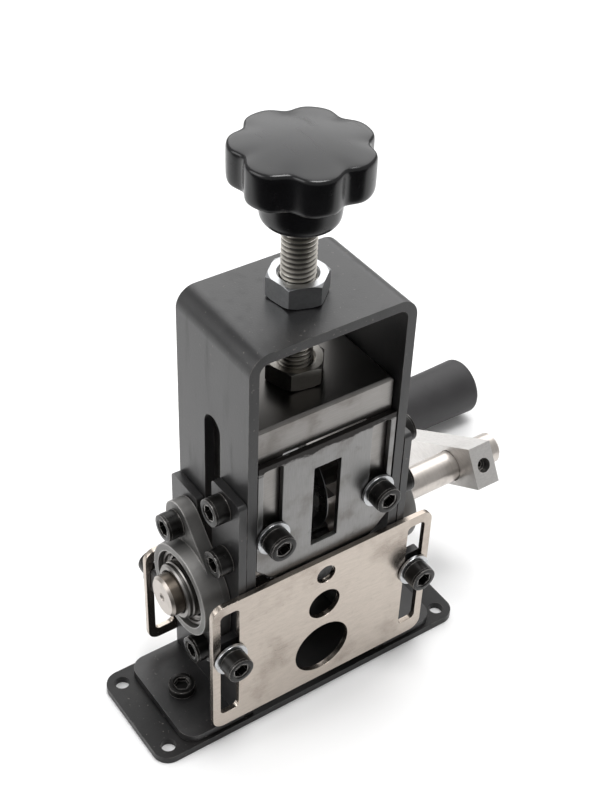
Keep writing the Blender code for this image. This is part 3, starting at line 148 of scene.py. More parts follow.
class Graph:
    """The node tree of one material."""

    def __init__(self, name: str) -> None:
        """Makes an empty Principled material.

        Args:
            name: The material's name.
        """
        self.material = bpy.data.materials.new(name)
        self.material.use_nodes = True
        self.tree = self.material.node_tree
        self.shader = self.tree.nodes["Principled BSDF"]
        self.place = self.node("TexCoord").outputs["Object"]

    def node(self, kind: str, settings: Optional[dict] = None,
             inputs: Optional[dict] = None) -> bpy.types.Node:
        """Adds a node.

        Args:
            kind: The node's type without its ShaderNode prefix.
            settings: Its properties, which are set first.
            inputs: Values, sockets or links for its inputs, by name or number.

        Returns:
            The node.
        """
        made = self.tree.nodes.new("ShaderNode" + kind)
        for key, value in (settings or {}).items():
            setattr(made, key, value)
        for key, value in (inputs or {}).items():
            self.feed(made.inputs[key], value)
        return made

    def feed(self, target: bpy.types.NodeSocket, value: Union[Value, Colour]) -> None:
        """Sets an input, or links it.

        Args:
            target: The input socket.
            value: A number, a colour, or a socket to link.
        """
        if isinstance(value, Sock):
            self.tree.links.new(value.socket, target)
        elif isinstance(value, bpy.types.NodeSocket):
            self.tree.links.new(value, target)
        elif target.type == "RGBA" and len(value) == 3:
            target.default_value = (*value, 1.0)
        else:
            target.default_value = value

    def maths(self, operation: str, *values: Value) -> Sock:
        """Adds a Math node.

        Args:
            operation: The node's operation.
            values: Its inputs in order.

        Returns:
            Its output.
        """
        made = self.node("Math", {"operation": operation}, dict(enumerate(values)))
        return Sock(self, made.outputs[0])

    def mix(self, share: Value, first: Colour, second: Colour) -> Sock:
        """Mixes two colours.

        Args:
            share: How much of the second colour shows, from 0 to 1.
            first: The colour at 0.
            second: The colour at 1.

        Returns:
            The mixed colour.
        """
        made = self.node("Mix", {"data_type": "RGBA"}, {0: share, 6: first, 7: second})
        return Sock(self, made.outputs[2])

    def along(self, axis: Axis) -> Sock:
        """The place along one axis.

        Args:
            axis: The axis.

        Returns:
            The coordinate in metres.
        """
        made = self.node("SeparateXYZ", None, {"Vector": self.place})
        return Sock(self, made.outputs[axis.index])

    def facing(self, axis: Axis) -> Sock:
        """How far the surface faces along an axis.

        Args:
            axis: The axis.

        Returns:
            The normal's component, from -1 to 1.
        """
        normal = self.node("NewGeometry").outputs["Normal"]
        made = self.node("SeparateXYZ", None, {"Vector": normal})
        return Sock(self, made.outputs[axis.index])

    def mapped(self, stretch: Point, shift: float = 0.0) -> bpy.types.NodeSocket:
        """Object coordinates, stretched and shifted.

        Args:
            stretch: The scale along each axis.
            shift: How far the pattern is moved, to make it differ.

        Returns:
            The coordinates.
        """
        made = self.node("Mapping", None, {"Vector": self.place, "Scale": stretch,
                                           "Location": (shift, shift, shift)})
        return made.outputs["Vector"]

    def noise(self, size: float, stretch: Point = (1.0, 1.0, 1.0), detail: float = 3.0,
              rough: float = 0.5, shift: float = 0.0) -> Sock:
        """A cloud pattern.

        Args:
            size: The width of a cloud in metres.
            stretch: How much finer it is along each axis.
            detail: The number of finer layers.
            rough: The strength of the finer layers.
            shift: How far the pattern is moved.

        Returns:
            Its value, about 0.5 in the middle.
        """
        made = self.node("TexNoise", None, {"Vector": self.mapped(stretch, shift), "Scale": 1 / size,
                                            "Detail": detail, "Roughness": rough})
        return Sock(self, made.outputs["Fac"])

    def edges(self, radius: float) -> Sock:
        """Where a surface turns sharply.

        Args:
            radius: How far from an edge the mask reaches, in metres.

        Returns:
            A value that grows near edges.
        """
        rounded = self.node("Bevel", {"samples": 6}, {"Radius": radius}).outputs["Normal"]
        straight = self.node("NewGeometry").outputs["Normal"]
        product = self.node("VectorMath", {"operation": "DOT_PRODUCT"}, {0: rounded, 1: straight})
        return (1.0 - Sock(self, product.outputs["Value"])).between(0.02, 0.28)

    def finish(self, **looks: Union[Value, Colour]) -> bpy.types.Material:
        """Feeds the shader.

        Args:
            looks: Values for its inputs, with underscores for the spaces in their names.

        Returns:
            The material.
        """
        for key, value in looks.items():
            self.feed(self.shader.inputs[key.replace("_", " ")], value)
        return self.material

    def bump(self, height: Value, depth: float, strength: float = 1.0) -> None:
        """Raises the surface.

        Args:
            height: The pattern.
            depth: Its full height in metres.
            strength: How much of it shows.
        """
        made = self.node("Bump", None, {"Height": height, "Distance": depth, "Strength": strength})
        self.tree.links.new(made.outputs["Normal"], self.shader.inputs["Normal"])


# Finishes

@dataclass(frozen=True)
class PowderCoat:
    """Satin black powder coat, dusty here and there and rubbed thin on its edges."""

    name: str = "powder_coat"
    colour: tuple = (0.0085, 0.0083, 0.009)
    dusty: tuple = (0.02, 0.0192, 0.0195)
    rubbed: tuple = (0.13, 0.12, 0.11)
    grain: float = 0.0007
    peel_depth: float = 0.00006
    dust_size: float = 0.022
    drag_size: float = 0.004
    speck_size: float = 0.0014
    patch_size: float = 0.03
    rub_size: float = 0.006
    edge_reach: float = 0.0007
    gloss: float = 0.66

    def make(self) -> bpy.types.Material:
        """The material."""
        graph = Graph(self.name)
        peel = graph.noise(self.grain, detail=2.0)
        dust = graph.noise(self.dust_size, detail=6.0, shift=0.3)
        drag = graph.noise(self.drag_size, (1.0, 1.0, 0.15), detail=5.0, shift=0.7).between(0.5, 0.75)
        specks = graph.noise(self.speck_size, detail=3.0, shift=2.3).between(0.665, 0.72)
        patch = graph.noise(self.patch_size, detail=3.0, shift=3.1).between(0.47, 0.62)
        rub = graph.noise(self.rub_size, detail=4.0, shift=1.1).between(0.45, 0.62)
        worn = graph.edges(self.edge_reach) * rub
        tint = graph.mix(dust.between(0.35, 0.7), self.colour, self.dusty)
        tint = graph.mix(specks * patch * 0.7, tint, self.rubbed)
        graph.bump(peel, self.peel_depth, 0.45)
        return graph.finish(Base_Color=graph.mix(worn * 0.6, tint, self.rubbed),
                            Roughness=0.3 + dust * 0.14 + drag * 0.08 + patch * specks * 0.2,
                            Metallic=0.0, Specular_IOR_Level=self.gloss)


@dataclass(frozen=True)
class Steel:
    """Bare steel with a grain in one direction, stained here and there."""

    name: str
    colour: tuple
    stain: tuple
    grain: tuple
    rough: float
    stains: float = 0.5
    wear: float = 0.3
    depth: float = 0.00002
    clouds: float = 0.012
    line_size: float = 0.0011
    spot_size: float = 0.004
    edge_reach: float = 0.0007
    # How dark faces turned upwards get: partly the top's own oxide, partly painted shade.
    oxide_and_shade_top_share: float = 1.0
    top_band: tuple = ()
    top_band_size: float = 0.005
    top_band_tint: tuple = (0.014, 0.012, 0.011)

    def make(self) -> bpy.types.Material:
        """The material."""
        graph = Graph(self.name)
        lines = graph.noise(self.line_size, self.grain, detail=4.0, rough=0.6)
        cloud = graph.noise(self.clouds, detail=6.0, rough=0.55, shift=0.4)
        spots = graph.noise(self.spot_size, detail=6.0, rough=0.65, shift=1.9).between(0.6, 0.78)
        edge = graph.edges(self.edge_reach)
        dark = [c * 0.8 for c in self.colour]
        tint = graph.mix(lines.between(0.3, 0.7) * 0.55, self.colour, dark)
        tint = graph.mix(cloud.between(0.48, 0.72) * self.stains, tint, self.stain)
        tint = graph.mix(spots * self.stains * 0.7, tint, [c * 0.5 for c in self.stain])
        # Faces turned upwards are darkened: partly the block top's own dark oxide, partly painted shade.
        if self.oxide_and_shade_top_share < 1.0:
            above = graph.facing(Axis.Z).between(0.5, 0.9)
            tint = graph.mix(above, tint, [c * self.oxide_and_shade_top_share for c in self.colour])
        tint = graph.mix(edge * self.wear, tint, [min(1.0, c * 1.35) for c in self.colour])
        # A darker ragged band along the top edge of the piece, between two heights.
        if self.top_band:
            band = graph.along(Axis.Z).between(*self.top_band)
            ragged = graph.noise(self.top_band_size, (0.45, 1.0, 1.3), detail=6.0, rough=0.6, shift=2.7)
            tint = graph.mix((band * 0.5 + ragged).between(0.72, 0.86) * 0.94, tint, self.top_band_tint)
        graph.bump(lines, self.depth, 0.6)
        return graph.finish(Base_Color=tint, Metallic=1.0,
                            Roughness=self.rough + cloud * 0.12 + lines * 0.08 - 0.1)


@dataclass(frozen=True)
class Turned:
    """Metal with fine rings round one axis, as a lathe leaves them."""

    name: str
    colour: tuple
    rough: float
    axis: Axis
    grime: float = 0.3
    ring_size: float = 0.0012
    cloud_size: float = 0.006
    edge_reach: float = 0.0005
    # Radii between which the thread's valleys are darkened as painted shade.
    valley_shade_radii: tuple = ()
    dull_below: float = -1.0
    dull_fade: float = 0.001
    dull_tint: tuple = (0.15, 0.127, 0.105)

    def make(self) -> bpy.types.Material:
        """The material."""
        graph = Graph(self.name)
        fine = [0.15, 0.15, 0.15]
        fine[self.axis.index] = 6.0
        rings = graph.noise(self.ring_size, fine, detail=3.0)
        cloud = graph.noise(self.cloud_size, detail=5.0, shift=0.5)
        tint = graph.mix(rings.between(0.3, 0.7) * 0.35, self.colour, [c * 0.72 for c in self.colour])
        tint = graph.mix(cloud.between(0.5, 0.75) * self.grime, tint, [c * 0.35 for c in self.colour])
        edge = graph.edges(self.edge_reach)
        tint = graph.mix(edge * 0.4, tint, [min(1.0, c * 1.4) for c in self.colour])
        # Painted shade: the colour darkens towards the thread's valleys, between the two radii, where shade
        # falls.
        if self.valley_shade_radii:
            across = [graph.along(axis) for axis in Axis if axis is not self.axis]
            radius = graph.maths("SQRT", across[0] * across[0] + across[1] * across[1])
            tint = graph.mix(1.0 - radius.between(*self.valley_shade_radii), tint, [c * 0.25 for c in self.colour])
        if self.dull_below > -1.0:
            facing = graph.maths("ABSOLUTE", graph.facing(self.axis))
            reach = 1.0 - graph.along(self.axis).between(self.dull_below - self.dull_fade, self.dull_below)
            tint = graph.mix(reach * (1.0 - facing * 0.7), tint, self.dull_tint)
        graph.bump(rings, 0.00001, 0.5)
        return graph.finish(Base_Color=tint, Metallic=1.0, Roughness=self.rough + cloud * 0.14)


@dataclass(frozen=True)
class DieCast:
    """Grey zinc casting with a fine skin, its rims lightened as a painted highlight."""

    name: str = "die_cast"
    colour: tuple = (0.2, 0.196, 0.19)
    skin_size: float = 0.0009
    skin_depth: float = 0.00006
    cloud_size: float = 0.009
    edge_reach: float = 0.0012

    def make(self) -> bpy.types.Material:
        """The material."""
        graph = Graph(self.name)
        skin = graph.noise(self.skin_size, detail=4.0, rough=0.6)
        cloud = graph.noise(self.cloud_size, detail=5.0, shift=0.8)
        edge = graph.edges(self.edge_reach)
        tint = graph.mix(cloud.between(0.35, 0.7) * 0.6, self.colour, [c * 0.62 for c in self.colour])
        # Painted highlight: every edge is made much lighter, as the rims catch light.
        tint = graph.mix(edge * 0.7, tint, [c * 3.4 for c in self.colour])
        graph.bump(skin, self.skin_depth, 0.5)
        return graph.finish(Base_Color=tint, Metallic=0.85, Roughness=0.44 + skin * 0.14)


@dataclass(frozen=True)
class BlackOxide:
    """Blackened screw steel with bright rubbed edges."""

    name: str = "black_oxide"
    colour: tuple = (0.0065, 0.006, 0.0055)
    worn: tuple = (0.42, 0.4, 0.38)
    cloud_size: float = 0.003
    rub_size: float = 0.0025
    edge_reach: float = 0.0008
    grit_size: float = 0.0005
    grit_depth: float = 0.00002

    def make(self) -> bpy.types.Material:
        """The material."""
        graph = Graph(self.name)
        cloud = graph.noise(self.cloud_size, detail=4.0)
        rub = graph.noise(self.rub_size, detail=3.0, shift=0.6).between(0.25, 0.5)
        edge = graph.edges(self.edge_reach) * rub
        tint = graph.mix(cloud.between(0.4, 0.75), self.colour, [c * 2.2 for c in self.colour])
        tint = graph.mix(edge * 0.9, tint, self.worn)
        graph.bump(graph.noise(self.grit_size, detail=2.0), self.grit_depth, 0.4)
        return graph.finish(Base_Color=tint, Metallic=0.55, Roughness=0.22 + cloud * 0.16)


@dataclass(frozen=True)
class Plastic:
    """Moulded black plastic."""

    name: str
    colour: tuple
    rough: float
    grain: float
    depth: float
    gloss: float = 0.5
    cloud_size: float = 0.012
    hair_size: float = 0.002

    def make(self) -> bpy.types.Material:
        """The material."""
        graph = Graph(self.name)
        grain = graph.noise(self.grain, detail=3.0)
        cloud = graph.noise(self.cloud_size, detail=5.0, shift=0.9)
        hair = graph.noise(self.hair_size, (1.0, 0.1, 1.0), detail=4.0, shift=0.2).between(0.6, 0.75)
        tint = graph.mix(cloud.between(0.3, 0.75), self.colour, [c * 1.5 for c in self.colour])
        graph.bump(grain, self.depth, 0.5)
        return graph.finish(Base_Color=tint, Roughness=self.rough + cloud * 0.1 + hair * 0.08,
                            Specular_IOR_Level=self.gloss)


class Finishes:
    """Every finish of the machine, made once."""

    def __init__(self) -> None:
        """Makes the materials."""
        self.powder_coat = PowderCoat().make()
        self.base_coat = PowderCoat("base_coat", (0.006, 0.0058, 0.006), (0.017, 0.016, 0.016),
                                    gloss=0.3).make()
        # The block's top is darkened, partly for its dark oxide and partly as painted shade.
        self.block_steel = Steel("block_steel", (0.29, 0.278, 0.266), (0.12, 0.103, 0.09),
                                 (0.15, 1.0, 3.0), 0.32, stains=0.45, wear=0.6, oxide_and_shade_top_share=0.36).make()
        self.guard_steel = Steel("guard_steel", (0.26, 0.257, 0.253), (0.11, 0.096, 0.085),
                                 (3.0, 1.0, 0.2), 0.34, stains=0.6, wear=0.7, top_band=(0.116, 0.1222)).make()
        self.sheet_steel = Steel("sheet_steel", (0.52, 0.461, 0.406), (0.34, 0.293, 0.253),
                                 (0.3, 1.0, 2.2), 0.25, stains=0.8, wear=0.4, clouds=0.016).make()
        self.blade_steel = Turned("blade_steel", (0.2, 0.2, 0.2), 0.22, Axis.X, grime=0.4).make()
        self.shaft_steel = Turned("shaft_steel", (0.62, 0.575, 0.535), 0.26, Axis.X, dull_below=-0.03).make()
        self.race_steel = Turned("race_steel", (0.24, 0.23, 0.22), 0.26, Axis.X, grime=0.3).make()
        # The rod's thread valleys are darkened as painted shade.
        self.rod_plate = Turned("rod_plate", (0.86, 0.82, 0.75), 0.26, Axis.Z, grime=0.35,
                                valley_shade_radii=(0.0049, 0.0055)).make()
        self.bright_zinc = Steel("bright_zinc", (0.53, 0.54, 0.55), (0.3, 0.315, 0.335),
                                 (1.0, 1.0, 1.0), 0.3, stains=0.45, wear=0.5).make()
        self.dull_nut = Steel("dull_nut", (0.36, 0.345, 0.32), (0.15, 0.137, 0.12),
                              (1.0, 1.0, 1.0), 0.32, stains=0.4, wear=0.5).make()
        self.crank_alloy = Steel("crank_alloy", (0.74, 0.72, 0.7), (0.5, 0.48, 0.46),
                                 (1.0, 0.3, 2.0), 0.36, stains=0.35, wear=0.3).make()
        self.die_cast = DieCast().make()
        self.black_oxide = BlackOxide().make()
        self.knob = Plastic("knob_plastic", (0.0035, 0.0035, 0.004), 0.18, 0.0006, 0.000012,
                            gloss=0.42).make()
        self.grip = Plastic("grip_plastic", (0.02, 0.019, 0.02), 0.5, 0.0007, 0.00005).make()


# Modelling

class Shop:
    """Modelling tools: primitives, edit-mode shaping and modifiers."""

    @staticmethod
    def take(piece: bpy.types.Object) -> None:
        """Selects one piece alone.

        Args:
            piece: The piece.
        """
        bpy.ops.object.select_all(action="DESELECT")
        piece.select_set(True)
        bpy.context.view_layer.objects.active = piece

    @staticmethod
    def settle(name: str) -> bpy.types.Object:
        """Names the new primitive and moves its place into its mesh.

        Args:
            name: The piece's name.

        Returns:
            The piece.
        """
        piece = bpy.context.active_object
        piece.name = name
        Shop.take(piece)
        bpy.ops.object.transform_apply(location=True, rotation=True, scale=True)
        return piece

    @staticmethod
    def block(name: str, low: Point, high: Point) -> bpy.types.Object:
        """A box between two corners.

        Args:
            name: The piece's name.
            low: Its lowest corner.
            high: Its highest corner.

        Returns:
            The box.
        """
        bpy.ops.object.select_all(action="DESELECT")
        low, high = Vector(low), Vector(high)
        bpy.ops.mesh.primitive_cube_add(size=1.0, location=(low + high) / 2)
        bpy.context.active_object.scale = high - low
        return Shop.settle(name)

    @staticmethod
    def rod(name: str, start: Point, end: Point, radius: float, steps: int = 48) -> bpy.types.Object:
        """A cylinder between two points.

        Args:
            name: The piece's name.
            start: The middle of one end.
            end: The middle of the other.
            radius: Its radius.
            steps: The number of its sides.

        Returns:
            The cylinder.
        """
        bpy.ops.object.select_all(action="DESELECT")
        start, end = Vector(start), Vector(end)
        along = end - start
        turn = along.to_track_quat("Z", "Y").to_euler()
        bpy.ops.mesh.primitive_cylinder_add(vertices=steps, radius=radius, depth=along.length,
                                            location=(start + end) / 2, rotation=turn)
        return Shop.settle(name)

    @staticmethod
    def pick(piece: bpy.types.Object, kind: str, test: Callable[[bmesh.types.BMVert], bool]) -> int:
        """Selects elements in edit mode by a test.

        Args:
            piece: The piece, which is put in edit mode.
            kind: "verts", "edges" or "faces".
            test: Says whether an element is wanted.

        Returns:
            How many were selected.
        """
        if bpy.context.mode != "EDIT_MESH":
            Shop.take(piece)
            bpy.ops.object.mode_set(mode="EDIT")
        bpy.ops.mesh.select_mode(type={"verts": "VERT", "edges": "EDGE", "faces": "FACE"}[kind])
        bpy.ops.mesh.select_all(action="DESELECT")
        mesh = bmesh.from_edit_mesh(piece.data)
        wanted = [element for element in getattr(mesh, kind) if test(element)]
        for element in wanted:
            element.select_set(True)
        mesh.select_flush_mode()
        bmesh.update_edit_mesh(piece.data)
        return len(wanted)

    @staticmethod
    def leave() -> None:
        """Leaves edit mode."""
        bpy.ops.object.mode_set(mode="OBJECT")

    @staticmethod
    def round_edges(piece: bpy.types.Object, test: Callable[[bmesh.types.BMEdge], bool],
                    radius: float, steps: int) -> None:
        """Bevels the edges that a test picks.

        Args:
            piece: The piece.
            test: Says whether an edge is wanted.
            radius: The bevel's radius.
            steps: Its number of segments.
        """
        if Shop.pick(piece, "edges", test):
            bpy.ops.mesh.bevel(offset=radius, segments=steps, affect="EDGES")
        Shop.leave()

    @staticmethod
    def apply(piece: bpy.types.Object, kind: str, **settings: object) -> None:
        """Adds a modifier and applies it.

        Args:
            piece: The piece.
            kind: The modifier's type.
            settings: Its properties.
        """
        Shop.take(piece)
        step = piece.modifiers.new(kind.lower(), kind)
        for key, value in settings.items():
            setattr(step, key, value)
        bpy.ops.object.modifier_apply(modifier=step.name)

    @staticmethod
    def combine(piece: bpy.types.Object, tools: Iterable[bpy.types.Object], operation: str) -> None:
        """Cuts, joins or intersects a piece with others, which are then removed.

        Args:
            piece: The piece.
            tools: The other shapes.
            operation: The Boolean's operation.
        """
        for tool in tools:
            Shop.apply(piece, "BOOLEAN", operation=operation, solver="EXACT", object=tool)
            bpy.data.objects.remove(tool)

    @staticmethod
    def cut(piece: bpy.types.Object, *tools: bpy.types.Object) -> None:
        """Cuts shapes away from a piece.

        Args:
            piece: The piece.
            tools: The shapes to cut away.
        """
        Shop.combine(piece, tools, "DIFFERENCE")

    @staticmethod
    def soften(piece: bpy.types.Object, width: float, steps: int = 2, angle: float = 30.0) -> None:
        """Rounds every sharp edge a little and shades the piece.

        Args:
            piece: The piece.
            width: The width of the rounding.
            steps: Its number of segments.
            angle: The edges that turn more than this, in degrees, are rounded.
        """
        Shop.take(piece)
        Shop.apply(piece, "WELD", merge_threshold=WELD)
        Shop.apply(piece, "BEVEL", width=width, segments=steps, limit_method="ANGLE",
                   angle_limit=radians(angle), miter_outer="MITER_ARC", use_clamp_overlap=True)
        Shop.shade(piece)

    @staticmethod
    def shade(piece: bpy.types.Object, angle: float = 35.0) -> None:
        """Shades the piece smooth, with its sharp edges kept.

        Args:
            piece: The piece.
            angle: The edges that turn more than this, in degrees, stay sharp.
        """
        Shop.take(piece)
        bpy.ops.object.shade_smooth_by_angle(angle=radians(angle))

    @staticmethod
    def plate(name: str, low: Point, high: Point, axis: Axis, corner: float,
              steps: int = 8) -> bpy.types.Object:
        """A flat plate with round corners.

        Args:
            name: The piece's name.
            low: Its lowest corner.
            high: Its highest corner.
            axis: The direction of its thickness.
            corner: The radius of its corners.
            steps: The number of segments of a corner.

        Returns:
            The plate.
        """
        piece = Shop.block(name, low, high)
        if corner:
            Shop.round_edges(piece, lambda edge: abs((edge.verts[0].co - edge.verts[1].co).normalized()
                                                     .dot(axis.vector)) > 0.99, corner, steps)
        return piece

    @staticmethod
    def line(name: str, points: Sequence[Vector]) -> bpy.types.Object:
        """A chain of edges, drawn by extruding one point.

        Args:
            name: The piece's name.
            points: The chain's points.

        Returns:
            The chain, in edit mode.
        """
        bpy.ops.object.select_all(action="DESELECT")
        bpy.ops.mesh.primitive_plane_add(size=WELD, location=points[0])
        piece = Shop.settle(name)
        bpy.ops.object.mode_set(mode="EDIT")
        bpy.ops.mesh.select_mode(type="VERT")
        bpy.ops.mesh.select_all(action="SELECT")
        bpy.ops.mesh.merge(type="CENTER")
        for start, end in zip(points, points[1:]):
            bpy.ops.mesh.extrude_region_move(TRANSFORM_OT_translate={"value": end - start})
        return piece

    @staticmethod
    def face_outwards() -> None:
        """Turns the faces of the piece in edit mode outwards, and leaves edit mode."""
        bpy.ops.mesh.select_all(action="SELECT")
        bpy.ops.mesh.normals_make_consistent(inside=False)
        Shop.leave()

    @staticmethod
    def turned(name: str, profile: Profile, origin: Point, axis: Point, steps: int = 64,
               closed: bool = False) -> bpy.types.Object:
        """A profile turned round an axis.

        Args:
            name: The piece's name.
            profile: Points as (distance along the axis, radius).
            origin: The point of the axis that distances start from.
            axis: The axis.
            steps: The number of steps of the turn.
            closed: Whether the profile is a loop, as for a bored piece.

        Returns:
            The turned piece.
        """
        along = Vector(axis).normalized()
        side = along.orthogonal().normalized()
        points = [Vector(origin) + along * distance + side * radius for distance, radius in profile]
        piece = Shop.line(name, points)
        if closed:
            Shop.pick(piece, "verts", lambda vert: len(vert.link_edges) == 1)
            bpy.ops.mesh.edge_face_add()
        bpy.ops.mesh.select_all(action="SELECT")
        bpy.ops.mesh.spin(steps=steps, angle=2 * pi, dupli=False, center=origin, axis=along)
        bpy.ops.mesh.select_all(action="SELECT")
        bpy.ops.mesh.remove_doubles(threshold=WELD)
        if not closed:
            bpy.ops.mesh.select_all(action="DESELECT")
            bpy.ops.mesh.select_non_manifold()
            bpy.ops.mesh.edge_face_add()
        Shop.face_outwards()
        return piece

    @staticmethod
    def hull(name: str, discs: Iterable[tuple[Point, Point, float]], steps: int = 64) -> bpy.types.Object:
        """The convex skin round some cylinders.

        Args:
            name: The piece's name.
            discs: Cylinders as (start, end, radius).
            steps: The number of sides of each.

        Returns:
            The skin as a closed solid.
        """
        made = [Shop.rod(name + "_disc", start, end, radius, steps) for start, end, radius in discs]
        Shop.take(made[0])
        for piece in made:
            piece.select_set(True)
        bpy.ops.object.join()
        piece = bpy.context.active_object
        piece.name = name
        bpy.ops.object.mode_set(mode="EDIT")
        bpy.ops.mesh.select_all(action="SELECT")
        bpy.ops.mesh.convex_hull()
        Shop.leave()
        return piece

    @staticmethod
    def copy(piece: bpy.types.Object, name: str, move: Matrix) -> bpy.types.Object:
        """A copy with its own mesh, moved inside its mesh.

        Args:
            piece: The piece to copy.
            name: The copy's name.
            move: Where the copy goes.

        Returns:
            The copy.
        """
        made = piece.copy()
        made.data = piece.data.copy()
        made.name = name
        bpy.context.scene.collection.objects.link(made)
        made.data.transform(move)
        return made

    @staticmethod
    def mirrored(piece: bpy.types.Object, name: str) -> bpy.types.Object:
        """A copy on the other side, with its faces turned back outwards.

        Args:
            piece: The piece to copy.
            name: The copy's name.

        Returns:
            The copy.
        """
        made = Shop.copy(piece, name, Matrix.Scale(-1.0, 4, Axis.X.vector))
        made.data.flip_normals()
        return made


def place(piece: bpy.types.Object, node: str, body: Body, finish: bpy.types.Material) -> None:
    """Dresses a piece and puts it in the stead of its node.

    Args:
        piece: The finished piece.
        node: The node that it stands for.
        body: The body that it moves with.
        finish: Its material.
    """
    piece.name = node + "_skin"
    Shop.apply(piece, "WEIGHTED_NORMAL", mode="FACE_AREA", weight=100, keep_sharp=True)
    piece.data.materials.clear()
    piece.data.materials.append(finish)
    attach(piece, body.value)
    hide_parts(node)
    log.info("%s: %d faces", piece.name, len(piece.data.polygons))


def box(node: str) -> tuple[Vector, Vector]:
    """The lowest and highest corner of a node."""
    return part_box(node)


def middle(node: str) -> Vector:
    """The middle of a node's box."""
    low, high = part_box(node)
    return (low + high) / 2


SIDES = (("left", -1), ("right", 1))
LEVELS = ("upper", "lower")


